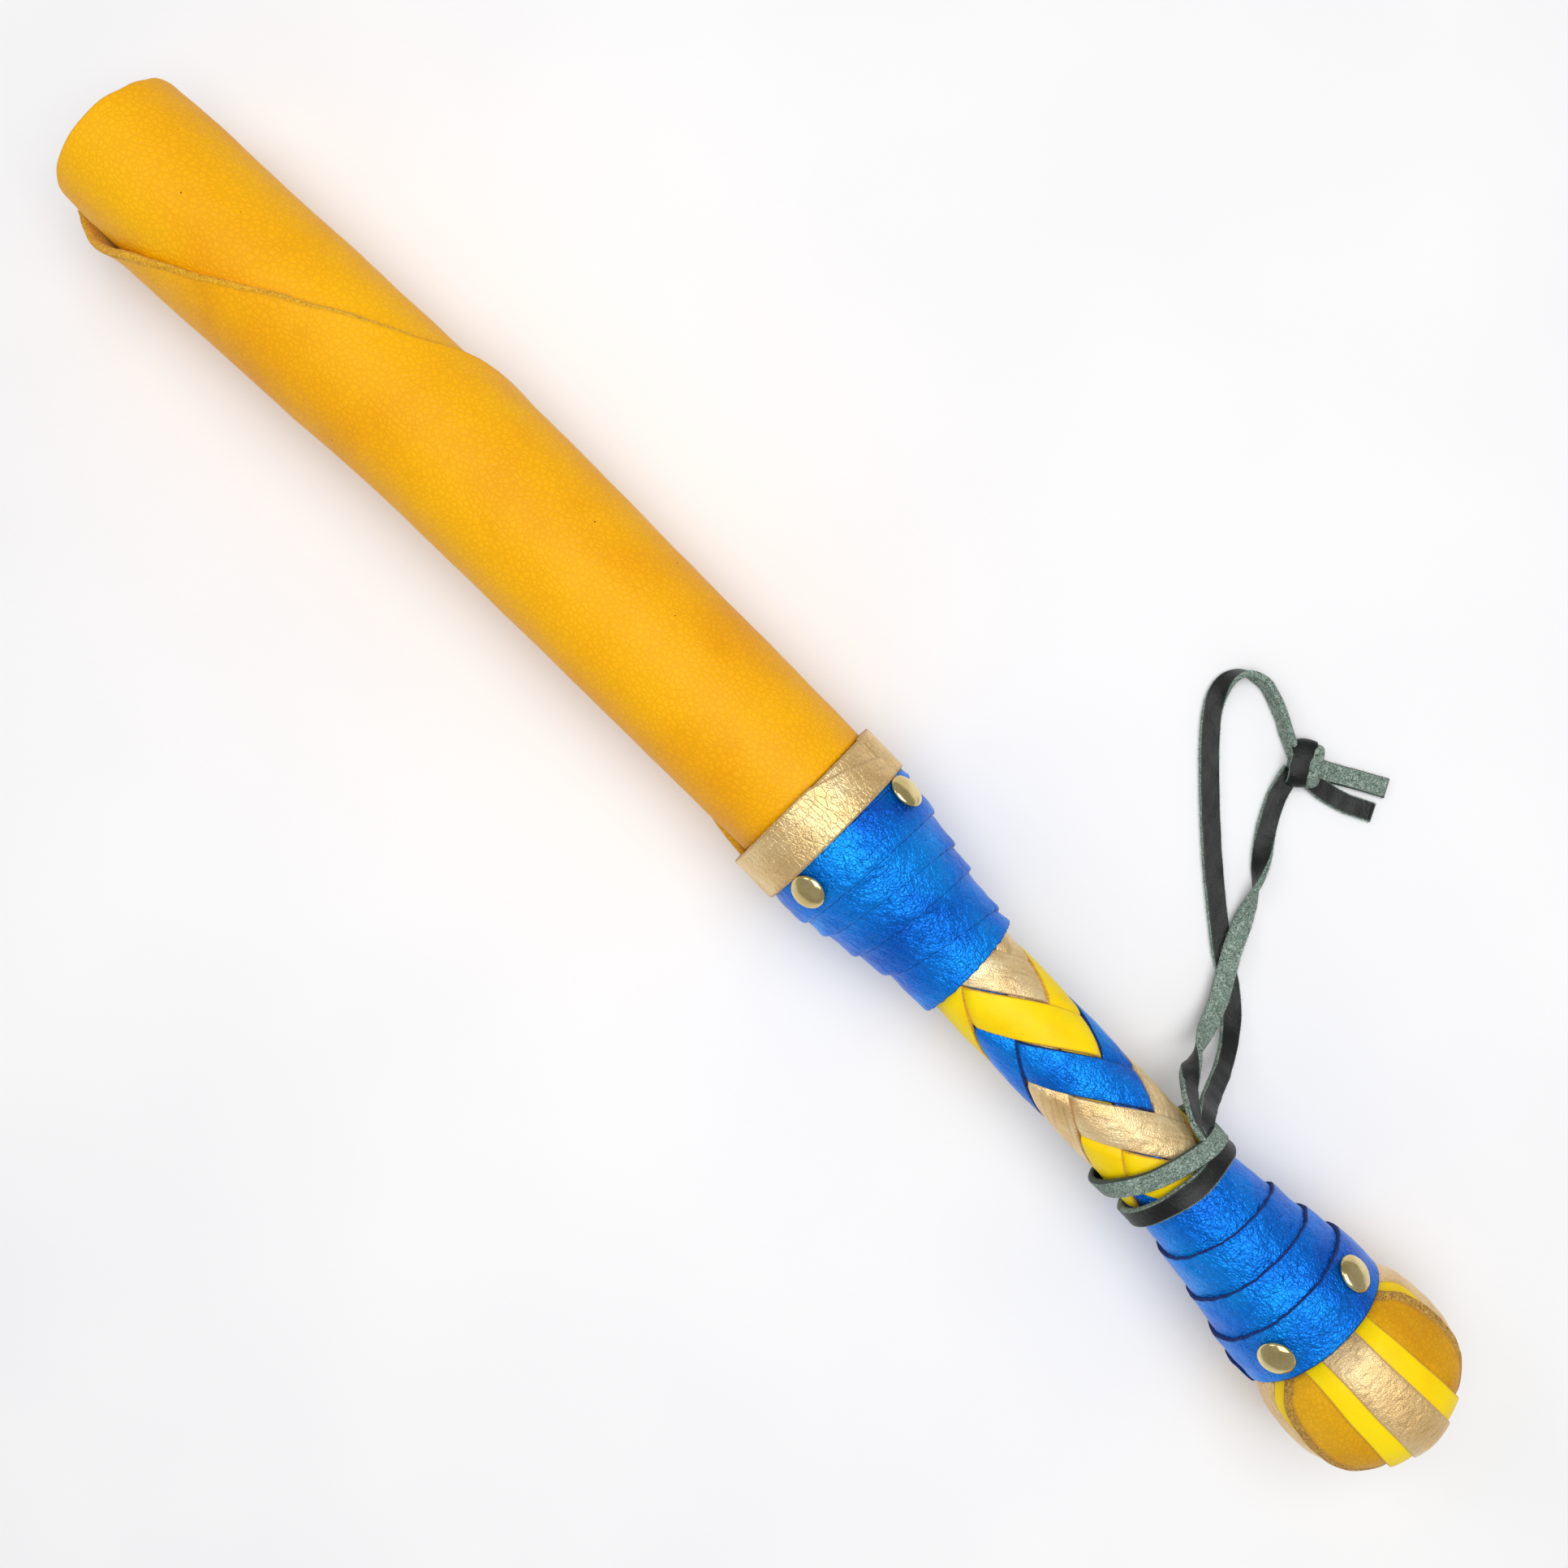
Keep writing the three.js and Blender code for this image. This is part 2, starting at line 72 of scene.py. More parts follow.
# ---- the stick's own coordinates ----
# Shapes are written in mm from the barrel's tip: x along the stick, r from its axis, and theta
# in degrees from the top towards the lanyard's side.
LENGTH = 472.0
BOW = np.array([-1.2, 1.0, 3.2, 3.8, 3.5, 2.6, 1.7, 0.6, 0.0])
BAND_MIDDLE = 251.8


def bow(x):
    """Sideways bow of the stick at x."""
    place = np.clip(np.asarray(x, float) / LENGTH, 0, 1) * (len(BOW) - 1)
    i = np.minimum(place.astype(int), len(BOW) - 2)
    t = place - i
    p0, p1 = BOW[np.maximum(i - 1, 0)], BOW[i]
    p2, p3 = BOW[i + 1], BOW[np.minimum(i + 2, len(BOW) - 1)]
    v0, v1 = (p2 - p0) / 2, (p3 - p1) / 2
    return (2 * p1 - 2 * p2 + v0 + v1) * t**3 + (3 * p2 - 3 * p1 - 2 * v0 - v1) * t**2 + v0 * t + p1


BARREL_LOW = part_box("barrel_under_wrap")[0]
COLLAR_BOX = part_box("lower_collar")
BAND_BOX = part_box("band_lower_turn")
ORIGIN = np.array([
    BARREL_LOW.x,
    (BAND_BOX[0].y + BAND_BOX[1].y) / 2 - float(bow(BAND_MIDDLE)) * MM,
    (COLLAR_BOX[0].z + COLLAR_BOX[1].z) / 2,
])


def world(points):
    """Points in mm from the tip, as metres in the frame."""
    return np.asarray(points, float) * MM + ORIGIN


def around(x, r, theta):
    """Points at x, r and theta of the bowed stick."""
    x, r, theta = np.broadcast_arrays(*[np.asarray(v, float) for v in (x, r, theta)])
    angle = np.radians(theta)
    return np.stack([x, r * np.sin(angle) + bow(x), r * np.cos(angle)], -1)


def wobble(points, seed, size):
    """A smooth irregular field from about -1 to 1, with hills about size mm apart."""
    rng = np.random.default_rng(seed)
    total = 0
    for _ in range(WAVES):
        way = rng.normal(size=3)
        way *= 2 * math.pi / (np.linalg.norm(way) * size * rng.uniform(0.7, 1.5))
        total = total + np.sin(points @ way + rng.uniform(0, 2 * math.pi))
    return total / math.sqrt(WAVES * 2)


def smooth(t):
    """0 to 1 with a soft start and end."""
    t = np.clip(t, 0, 1)
    return t * t * (3 - 2 * t)


def spread(start, end, count, lip):
    """Places from start to end, closer together within lip of both ends, where a cut edge is rounded."""
    near = lip * np.array([0, 0.12, 0.35, 0.65, 1.0])
    inner = np.linspace(start + 1.6 * lip, end - 1.6 * lip, count - 2 * len(near))
    return np.concatenate([start + near, inner, end - near[::-1]])


# ---- meshes ----
def slope(grid, axis, wrap):
    if wrap:
        return np.roll(grid, -1, axis) - np.roll(grid, 1, axis)
    return np.gradient(grid, axis=axis)


def normals(grid, wrap=(False, False)):
    n = np.cross(slope(grid, 0, wrap[0]), slope(grid, 1, wrap[1]))
    return n / np.maximum(np.linalg.norm(n, axis=-1, keepdims=True), 1e-9)


def run(grid, axis):
    """Distance in mm along the grid lines of one axis."""
    steps = np.linalg.norm(np.diff(grid, axis=axis), axis=-1)
    first = np.zeros_like(steps.take([0], axis))
    return np.concatenate([first, np.cumsum(steps, axis)], axis)


def inset(grid, axis, wrap):
    """Distance in mm from the nearer end of the grid line."""
    if wrap:
        return np.full(grid.shape[:2], 1000.0)
    along = run(grid, axis)
    return np.minimum(along, along.take([-1], axis) - along)


def quads(rows, cols, wrap):
    r, c = np.meshgrid(
        np.arange(rows if wrap[0] else rows - 1), np.arange(cols if wrap[1] else cols - 1), indexing="ij"
    )
    r2, c2 = (r + 1) % rows, (c + 1) % cols
    return np.stack([r * cols + c, r2 * cols + c, r2 * cols + c2, r * cols + c2], -1).reshape(-1, 4)


def piece(name, points, faces, looks, body, cut, slots=None, lie=None):
    """One visual piece: points in mm, faces, its materials, and the body it rides on.

    cut is how close each point is to a cut edge, slots the material of each face, and lie each point's
    distances along the strip and across it.
    """
    mesh = bpy.data.meshes.new(name)
    mesh.from_pydata(world(points).tolist(), [], faces)
    for look in looks:
        mesh.materials.append(look)
    if slots is not None:
        mesh.polygons.foreach_set("material_index", slots)
    mesh.attributes.new("cut", "FLOAT", "POINT").data.foreach_set("value", cut)
    if lie is not None:
        corners = np.empty(len(mesh.loops), int)
        mesh.loops.foreach_get("vertex_index", corners)
        layer = mesh.uv_layers.new(name="lie")
        layer.data.foreach_set("uv", (lie[corners] * MM).ravel())
    mesh.shade_smooth()
    mesh.update()
    obj = bpy.data.objects.new(name, mesh)
    bpy.context.scene.collection.objects.link(obj)
    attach(obj, body)
    return obj


def slab(name, middle, thick, looks, body, lip=0.6, wrap=(False, False), raw=None, blunt=0.3, fuzz=None):
    """A strip of leather round a grid of middle points: looks[0] outside, looks[1] inside and cut edges.

    lip is how far the edges are rounded, down to the share blunt of the thickness. raw is how wide the cut
    edges show looks[1]: at the first and last row, and at the first and last column. fuzz is (axis across
    the fuzzy strip, fibres to a mm, look, seed).
    """
    rows, cols = middle.shape[:2]
    lip = np.broadcast_to(lip, (rows, cols))
    raw = raw or (lip * 0.55, lip * 0.55)
    by_row, by_col = inset(middle, 0, wrap[0]), inset(middle, 1, wrap[1])
    away = np.minimum(by_row, by_col)
    raw_away = np.minimum(by_row - raw[0], by_col - raw[1]).reshape(-1)
    rounding = np.sqrt(1 - (1 - np.clip(away / lip, 0, 1)) ** 2)
    half = (thick / 2 * np.maximum(rounding, blunt))[..., None]
    n = normals(middle, wrap)
    points = np.concatenate([(middle + n * half).reshape(-1, 3), (middle - n * half).reshape(-1, 3)])
    count = rows * cols
    outside = quads(rows, cols, wrap)
    faces = [outside, outside[:, ::-1] + count]
    index = np.arange(count).reshape(rows, cols)
    walls = []
    if not wrap[0]:
        walls += [index[0], index[-1][::-1]]
    if not wrap[1]:
        walls += [index[:, 0][::-1], index[:, -1]]
    for rim in walls:
        closed = wrap[1] if rim.size == cols and not wrap[0] else wrap[0]
        line = np.append(rim, rim[0]) if closed else rim
        a, b = line[:-1], line[1:]
        faces.append(np.stack([a, b, b + count, a + count], -1))
    slots = np.ones(sum(len(f) for f in faces), int)
    slots[: len(outside)] = np.where(raw_away[outside].mean(1) < 0, 1, 0)
    cut = np.tile(1 - smooth(raw_away / 0.4), 2)
    lie = np.tile(np.stack([run(middle, 0).reshape(-1), run(middle, 1).reshape(-1)], -1), (2, 1))
    faces = np.concatenate(faces).tolist()
    if fuzz:
        hairs = fringe(middle, n, thick, fuzz)
        faces += (np.arange(len(hairs)).reshape(-1, 3) + len(points)).tolist()
        points = np.concatenate([points, hairs])
        slots = np.append(slots, np.full(len(hairs) // 3, fuzz[2]))
        cut = np.append(cut, np.zeros(len(hairs)))
        lie = np.concatenate([lie, np.zeros((len(hairs), 2))])
    return piece(name, points, faces, looks, body, cut, slots, lie)


HAIR_LENGTH = (0.2, 0.75)
HAIR_HALF_WIDTH = 0.05
HAIR_ROOT = 0.1


def fringe(middle, n, thick, fuzz):
    """Short loose fibres, each a thin triangle, along the two edges of a strip."""
    axis, per_mm, _, seed = fuzz
    rng = np.random.default_rng(seed)
    grid, up = (middle, n) if axis == 1 else (middle.swapaxes(0, 1), n.swapaxes(0, 1))
    hairs = []
    for edge, inward in ((0, 2), (-1, -3)):
        line, out = grid[:, edge], grid[:, edge] - grid[:, inward]
        out = out / np.maximum(np.linalg.norm(out, axis=1, keepdims=True), 1e-6)
        steps = np.linalg.norm(np.diff(line, axis=0), axis=1)
        place = np.sort(rng.uniform(0, len(line) - 1.001, int(steps.sum() * per_mm)))
        i = place.astype(int)
        f = (place - i)[:, None]
        ahead = line[i + 1] - line[i]
        ahead = ahead / np.maximum(np.linalg.norm(ahead, axis=1, keepdims=True), 1e-6)
        each = (len(i), 1)
        sway = rng.normal(0, 0.7, each)
        tilt = rng.normal(-0.1, 0.45, each)
        height = thick * rng.uniform(-0.4, 0.2, each)
        way = out[i] + ahead * sway + up[i, edge] * tilt
        root = line[i] + (line[i + 1] - line[i]) * f + up[i, edge] * height
        tip = root + way * rng.uniform(*HAIR_LENGTH, each) ** 1.4
        beside, back = ahead * HAIR_HALF_WIDTH, out[i] * HAIR_ROOT
        hairs.append(np.stack([root - beside - back, root + beside - back, tip], 1))
    return np.concatenate(hairs).reshape(-1, 3)


def turned(name, profile, looks, body, place, segments, rough, seed, size):
    """A piece turned from (along, radius) stations; place(along, radius, angle) gives the points in mm."""
    profile = np.array(profile, float)
    angle = np.linspace(0, 360, segments, endpoint=False)
    points = place(profile[:, 0][:, None], profile[:, 1][:, None], angle[None, :])
    points = points + normals(points, (False, True)) * (rough * wobble(points, seed, size))[..., None]
    rows = len(profile)
    faces = quads(rows, segments, (False, True)).tolist()
    faces.append(list(range(segments)))
    faces.append([(rows - 1) * segments + k for k in range(segments)][::-1])
    return piece(name, points.reshape(-1, 3), faces, looks, body, cut=np.zeros(rows * segments))


# ---- materials ----
def srgb(red, green, blue):
    values = np.array([red, green, blue], float) / 255
    linear = np.where(values < 0.04045, values / 12.92, ((values + 0.055) / 1.055) ** 2.4)
    return (*linear.tolist(), 1.0)


class Look:
    """One procedural material."""

    def __init__(self, name, **constants):
        self.material = bpy.data.materials.new(name)
        self.material.use_nodes = True
        self.tree = self.material.node_tree
        self.tree.nodes.clear()
        self.shader = self.add("BsdfPrincipled", constants)
        output = self.add("OutputMaterial")
        self.tree.links.new(self.shader.outputs["BSDF"], output.inputs["Surface"])
        coords = self.add("TexCoord")
        self.object, self.lie = coords.outputs["Object"], coords.outputs["UV"]
        self.cut = self.add("Attribute", attribute_name="cut").outputs["Fac"]
        self.last_bump = None

    def add(self, kind, values=None, **settings):
        node = self.tree.nodes.new("ShaderNode" + kind)
        for key, value in settings.items():
            setattr(node, key, value)
        for key, value in (values or {}).items():
            if isinstance(value, bpy.types.NodeSocket):
                self.tree.links.new(value, node.inputs[key])
            else:
                node.inputs[key].default_value = value
        return node

    def stretched(self, scale, source=None):
        node = self.add("Mapping", {"Vector": source or self.object, "Scale": scale})
        return node.outputs["Vector"]

    def noise(self, scale, detail=3.0, source=None, distortion=0.0):
        values = {"Vector": source or self.object, "Scale": scale, "Detail": detail, "Distortion": distortion}
        return self.add("TexNoise", values).outputs["Fac"]

    def cells(self, scale, feature="F1", source=None):
        node = self.add("TexVoronoi", {"Vector": source or self.object, "Scale": scale}, feature=feature)
        return node.outputs["Distance"]

    def math(self, operation, a, b):
        return self.add("Math", {0: a, 1: b}, operation=operation).outputs[0]

    def between(self, value, low, high):
        return self.add("MapRange", {"Value": value, "To Min": low, "To Max": high}).outputs["Result"]

    def ramp(self, factor, stops):
        node = self.add("ValToRGB", {"Fac": factor})
        elements = node.color_ramp.elements
        while len(elements) < len(stops):
            elements.new(0.5)
        for element, (position, colour) in zip(elements, stops):
            element.position = position
            element.color = srgb(*colour) if len(colour) == 3 else (*[colour[0]] * 3, 1)
        return node.outputs["Color"]

    def mix(self, factor, a, b, blend="MIX"):
        node = self.add("Mix", data_type="RGBA", blend_type=blend)
        for key, value in ((0, factor), (6, a), (7, b)):
            if isinstance(value, bpy.types.NodeSocket):
                self.tree.links.new(value, node.inputs[key])
            else:
                node.inputs[key].default_value = value
        return node.outputs[2]

    def bump(self, height, strength, distance):
        values = {"Height": height, "Strength": strength, "Distance": distance * MM}
        if self.last_bump:
            values["Normal"] = self.last_bump
        self.last_bump = self.add("Bump", values).outputs["Normal"]

    def done(self, colour, roughness):
        for key, value in (("Base Color", colour), ("Roughness", roughness), ("Normal", self.last_bump)):
            self.tree.links.new(value, self.shader.inputs[key])
        return self.material


def leather(
    name, tones, edge, pebble, relief, crease, crease_depth, gloss, blotch, metal=0.0, specks=None,
    sheen=0.32, grain=None, grain_way=(0.12, 1.0, 1.0), crack=None, pore_shade=0.5,
):
    """Finished leather: blotches between tones, a pebble grain, creases, specks, and edge where it is cut.

    pebble, crease, blotch, grain and crack are how many of each fit in a metre; gloss is the roughness from
    shiniest to dullest. The creases between pebbles and the wrinkles' valleys are darkened as painted shade.
    """
    look = Look(name, **{"Metallic": metal, "Specular IOR Level": sheen})
    count = len(tones) - 1
    blotches = look.noise(blotch, 4.0, distortion=0.4)
    colour = look.ramp(blotches, [(0.32 + 0.36 * i / count, tone) for i, tone in enumerate(tones)])
    pores = look.cells(pebble, "DISTANCE_TO_EDGE")
    colour = look.mix(pore_shade, colour, look.ramp(pores, [(0.0, (0.72,)), (0.18, (1.0,))]), "MULTIPLY")
    look.bump(look.ramp(pores, [(0.0, (0.0,)), (0.28, (1.0,))]), relief, 0.16)
    look.bump(look.noise(2600, 2.0), relief * 0.8, 0.06)
    folds = look.noise(crease, 6.0, distortion=1.2)
    look.bump(folds, crease_depth, 0.9)
    if crack:
        lines = look.cells(crack, "DISTANCE_TO_EDGE", look.stretched((0.6, 1.0, 1.0)))
        torn = look.noise(crack * 0.8, 5.0)
        wander = look.math("ADD", lines, look.math("MULTIPLY", torn, 0.22))
        colour = look.mix(0.4, colour, look.ramp(wander, [(0.07, (0.4,)), (0.15, (1.0,))]), "MULTIPLY")
        look.bump(look.ramp(wander, [(0.05, (0.0,)), (0.2, (1.0,))]), 0.5, 0.25)
    if grain:
        wrinkles = look.noise(grain, 5.0, look.stretched(grain_way, look.lie))
        # The wrinkles' valleys are darkened: painted shade in the creases.
        colour = look.mix(0.5, colour, look.ramp(wrinkles, [(0.36, (0.66,)), (0.5, (1.0,))]), "MULTIPLY")
        look.bump(wrinkles, 0.6, 0.3)
    if specks:
        spot = look.cells(240, "F1")
        chance = look.noise(90, 2.0)
        near_centre = look.math("LESS_THAN", spot, 0.06)
        chosen = look.math("GREATER_THAN", chance, 0.58)
        colour = look.mix(look.math("MULTIPLY", near_centre, chosen), colour, srgb(*specks))
    colour = look.mix(look.math("MULTIPLY", look.cut, 0.7), colour, srgb(*edge))
    return look.done(colour, look.between(look.noise(130, 4.0), *gloss))


def fibres(name, tones, depth=0.7, scale=900):
    """Raw leather: cut edges and the suede side, with short matted fibres."""
    look = Look(name, **{"Specular IOR Level": 0.2, "Sheen Weight": 0.08, "Sheen Roughness": 0.6})
    hair = look.noise(scale, 8.0, distortion=2.2)
    count = len(tones) - 1
    colour = look.ramp(hair, [(0.3 + 0.4 * i / count, tone) for i, tone in enumerate(tones)])
    worn = look.noise(70, 3.0)
    colour = look.mix(0.4, colour, look.ramp(worn, [(0.3, (0.7,)), (0.7, (1.0,))]), "MULTIPLY")
    look.bump(hair, depth, 0.45)
    look.bump(look.noise(scale * 3, 3.0), depth, 0.12)
    return look.done(colour, look.between(worn, 0.9, 1.0))


AMBER = leather(
    "amber_leather", [(243, 166, 0), (250, 178, 0), (253, 186, 0)], (196, 136, 20),
    pebble=640, relief=0.6, crease=90, crease_depth=0.35, gloss=(0.4, 0.58), blotch=24, specks=(140, 74, 8),
    sheen=0.18, pore_shade=0.36,
)
AMBER_RAW = fibres("amber_raw_edge", [(186, 126, 12), (232, 170, 26), (250, 204, 66)])
LEMON = leather(
    "lemon_leather", [(250, 208, 0), (255, 220, 0), (255, 226, 8)], (206, 150, 30),
    pebble=1500, relief=0.1, crease=200, crease_depth=0.12, gloss=(0.36, 0.5), blotch=60, sheen=0.2,
    pore_shade=0.15,
)
LEMON_RAW = fibres("lemon_raw_edge", [(184, 134, 34), (220, 170, 56), (240, 200, 100)])
MUSTARD = leather(
    "mustard_leather", [(206, 142, 4), (222, 162, 10), (232, 174, 22)], (176, 126, 40),
    pebble=820, relief=0.35, crease=120, crease_depth=0.3, gloss=(0.34, 0.52), blotch=40, sheen=0.2,
)
MUSTARD_RAW = fibres("mustard_raw_edge", [(136, 94, 26), (194, 144, 50), (236, 192, 104)], depth=0.9)
GOLD = leather(
    "gold_foil_leather", [(222, 184, 122), (240, 206, 146), (250, 224, 172)], (196, 156, 104),
    pebble=1150, relief=0.32, crease=200, crease_depth=0.4, gloss=(0.3, 0.46), blotch=60, metal=0.72,
    crack=620,
)
GOLD_STRAND = leather(
    "gold_strand_leather", [(230, 192, 130), (246, 212, 154), (254, 230, 180)], (228, 202, 160),
    pebble=1600, relief=0.3, crease=260, crease_depth=0.5, gloss=(0.3, 0.46), blotch=90, metal=0.6, grain=900,
)
GOLD_STRAP = leather(
    "gold_strap_leather", [(222, 184, 120), (242, 206, 146), (252, 226, 176)], (216, 180, 130),
    pebble=1500, relief=0.3, crease=300, crease_depth=0.5, gloss=(0.34, 0.5), blotch=60, metal=0.55,
    grain=1200, grain_way=(1.0, 0.3, 1.0),
)
GOLD_RAW = fibres("gold_raw_edge", [(160, 124, 78), (208, 176, 124), (232, 208, 166)])
BLUE = leather(
    "blue_foil_leather", [(0, 98, 212), (0, 126, 238), (8, 152, 254)], (6, 34, 92),
    pebble=1000, relief=0.5, crease=230, crease_depth=0.8, gloss=(0.26, 0.44), blotch=50, metal=0.66,
    crack=520,
)
BLUE_RAW = fibres("blue_raw_edge", [(4, 20, 60), (10, 40, 108), (26, 66, 146)])
LACE_BLACK = leather(
    "black_lace_leather", [(12, 14, 13), (20, 23, 21), (32, 36, 33)], (60, 74, 66),
    pebble=1700, relief=0.2, crease=300, crease_depth=0.25, gloss=(0.34, 0.5), blotch=120,
)
LACE_SUEDE = fibres("lace_suede", [(58, 76, 68), (122, 142, 130), (192, 208, 196)], depth=0.9, scale=1000)
FILLER = fibres("filler_sleeve_felt", [(40, 30, 22), (66, 50, 36), (90, 70, 52)])


def foam_look():
    look = Look("padding_foam_open_cells", **{"Specular IOR Level": 0.25})
    holes = look.cells(900, "F1")
    tint = look.noise(60, 4.0)
    colour = look.ramp(tint, [(0.35, (206, 196, 160)), (0.65, (232, 224, 192))])
    # The holes are darkened: painted shade inside the open cells.
    colour = look.mix(0.7, colour, look.ramp(holes, [(0.2, (0.35,)), (0.45, (1.0,))]), "MULTIPLY")
    look.bump(look.ramp(holes, [(0.15, (0.0,)), (0.5, (1.0,))]), 0.8, 0.5)
    return look.done(colour, look.between(tint, 0.85, 1.0))


def wood_look():
    look = Look("core_wood_grain", **{"Specular IOR Level": 0.3})
    rings = look.add(
        "TexWave",
        {"Vector": look.stretched((0.08, 1.0, 1.0)), "Scale": 260.0, "Distortion": 3.0, "Detail": 4.0},
        wave_type="RINGS", rings_direction="X",
    ).outputs["Fac"]
    colour = look.ramp(rings, [(0.2, (150, 104, 58)), (0.6, (198, 154, 98)), (0.9, (214, 174, 120))])
    pores = look.noise(900, 4.0, look.stretched((0.05, 1.0, 1.0)))
    colour = look.mix(0.4, colour, look.ramp(pores, [(0.35, (0.6,)), (0.6, (1.0,))]), "MULTIPLY")
    look.bump(pores, 0.4, 0.2)
    return look.done(colour, look.between(pores, 0.6, 0.8))


def brass_look():
    look = Look("rivet_brass_worn", Metallic=1.0)
    tint = look.noise(160, 4.0)
    colour = look.ramp(tint, [(0.3, (206, 184, 120)), (0.55, (228, 210, 152)), (0.8, (242, 230, 184))])
    scratches = look.noise(2200, 3.0, look.stretched((1.0, 0.15, 1.0)))
    colour = look.mix(0.25, colour, look.ramp(scratches, [(0.35, (0.6,)), (0.55, (1.0,))]), "MULTIPLY")
    look.bump(scratches, 0.12, 0.05)
    look.bump(look.noise(420, 3.0), 0.2, 0.15)
    return look.done(colour, look.between(tint, 0.1, 0.22))


FOAM, WOOD, BRASS = foam_look(), wood_look(), brass_look()

# ---- inside ----
ROD_PROFILE = [
    (5.6, 0.4), (5.5, 3.0), (5.6, 5.6), (5.9, 6.5), (6.6, 6.95), (60, 7), (150, 7), (260, 7), (360, 7),
    (440, 7), (460, 6.9), (461, 6.2), (461.3, 3), (461.3, 0.4),
]
rod = turned("core_rod_wood", ROD_PROFILE, [WOOD], "stick", around, 64, rough=0.06, seed=3, size=9)
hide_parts("core_rod")

FOAM_PROFILE = [
    (8.2, 7.3), (7.4, 9.0), (7.0, 11.2), (7.3, 13.0), (8.6, 13.9), (12, 14.2), (60, 14.3), (120, 14.3),
    (200, 14.3), (243, 14.2), (244.4, 12), (244.4, 7.3),
]
foam = turned("barrel_foam_roll", FOAM_PROFILE, [FOAM], "stick", around, 96, rough=0.3, seed=4, size=5)
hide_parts("barrel_padding")

SLEEVE_PROFILE = [
    (262, 7.4), (262, 13), (290, 12.6), (300, 10.4), (398, 10.4), (410, 12.8), (434, 13.4), (434, 7.4),
]
sleeve = turned(
    "handle_filler_sleeve", SLEEVE_PROFILE, [FILLER], "stick", around, 64, rough=0.12, seed=5, size=4
)
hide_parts("handle_padding")

# ---- barrel ----
# The outer turn's free edge climbs round the barrel: (theta, x) from the tip to the band.
FREE_EDGE = [
    (-122, -8), (-115, 0.5), (-90, 14.4), (-57, 28.2), (-29, 48.5), (-9, 61.8), (8, 75.4), (24, 85.7),
    (43, 98.5), (70, 109.5), (90, 117), (130, 140), (170, 165), (210, 201), (243.5, 228), (262, 250),
]
EDGE_BLEND = 37
BARREL_TOP_R = 22.8
TURN_RISE = 2.4
TURN_THICK = 2.3
BARREL_LENGTH = 246.0
OUTER_SWEEP = 374
UNDER_SWEEP = 950
UNDER_ROLL_END = 261.5
UNDER_BAND_R = 19.0


def edge_theta(x):
    """Where the outer turn's free edge crosses x, with a slightly wavy cut."""
    fine = np.linspace(-20, 290, 1241)
    line = np.interp(fine, [s[1] for s in FREE_EDGE], [s[0] for s in FREE_EDGE])
    kernel = np.hanning(EDGE_BLEND)
    line = np.convolve(np.pad(line, EDGE_BLEND // 2, "edge"), kernel / kernel.sum(), "valid")
    wave = 0.45 * np.sin(fine / 5.3) + 0.3 * np.sin(fine / 2.1 + 1) + 0.25 * np.sin(fine / 0.83 + 2)
    return np.interp(x, fine, line + wave)


def tip_taper(x):
    """How many mm smaller the roll's radius is at x, near the tip."""
    return 1.3 * np.exp(-x / 16)


outer_x = spread(0.2, BARREL_LENGTH, 124, 1.1)[:, None]
delta = spread(0, OUTER_SWEEP, 196, 3.0)[::-1][None, :]
outer_theta = edge_theta(outer_x) - delta
lift = (0.5 + 1.8 * np.exp(-(((outer_x - 10) / 18) ** 2))) * np.exp(-((delta / 11) ** 1.4))
outer_r = BARREL_TOP_R - TURN_THICK / 2 - TURN_RISE * delta / 360 + lift - tip_taper(outer_x)
outer = around(outer_x, outer_r, outer_theta)
outer_r = outer_r + 0.28 * wobble(outer, 11, 70) + 0.12 * wobble(outer, 12, 22) + 0.05 * wobble(outer, 13, 7)
outer = around(outer_x + 0.5 * wobble(outer, 14, 9) * np.exp(-outer_x / 4), outer_r, outer_theta)
raw_width = 0.7 + 1.7 * np.exp(-outer_x / 50)
turn = slab(
    "barrel_outer_turn_leather", outer, TURN_THICK, [AMBER, AMBER_RAW], "stick", lip=1.2,
    raw=(0.3, raw_width), fuzz=(1, 2.5, 1, 16),
)
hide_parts("barrel_outer_turn")

tip_x = 1.0 + np.array([0, 0.1, 0.3, 0.6, 1.0, 2.0, 4.0, 7.0])
inner_x = np.concatenate([tip_x, np.linspace(14, UNDER_ROLL_END, 26)])[:, None]
inner_delta = spread(OUTER_SWEEP + 1, UNDER_SWEEP, 170, 3.0)[::-1][None, :]
inner_r = BARREL_TOP_R - TURN_THICK / 2 - TURN_RISE * inner_delta / 360 - 0.1 - tip_taper(inner_x)
inner_r = np.where(inner_x > BARREL_LENGTH, np.minimum(inner_r, UNDER_BAND_R), inner_r)
inner = around(inner_x, inner_r, edge_theta(inner_x) - inner_delta)
inner = inner + (0.5 * wobble(inner, 15, 8) * np.exp(-inner_x / 4))[..., None] * np.array([1.0, 0, 0])
roll = slab("barrel_under_roll_leather", inner, TURN_THICK, [AMBER, AMBER_RAW], "stick", lip=0.9)
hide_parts("barrel_under_wrap")

# ---- gold band ----
BAND_START, BAND_STOP = 245.5, 258.5
BAND_LOWER_R, BAND_LOWER_THICK = 22.55, 1.3
BAND_UPPER_R, BAND_UPPER_THICK = 23.75, 1.2
ring_theta = np.linspace(0, 360, 180, endpoint=False)[None, :]
lower_x = spread(BAND_START + 0.2, BAND_STOP, 22, 0.7)[:, None]
lower_band = around(lower_x, BAND_LOWER_R, ring_theta)
lower_band = around(lower_x, BAND_LOWER_R + 0.06 * wobble(lower_band, 21, 6), ring_theta)
band = slab(
    "band_lower_turn_gold", lower_band, BAND_LOWER_THICK, [GOLD, GOLD_RAW], "stick", lip=0.6,
    wrap=(False, True),
)
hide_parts("band_lower_turn")

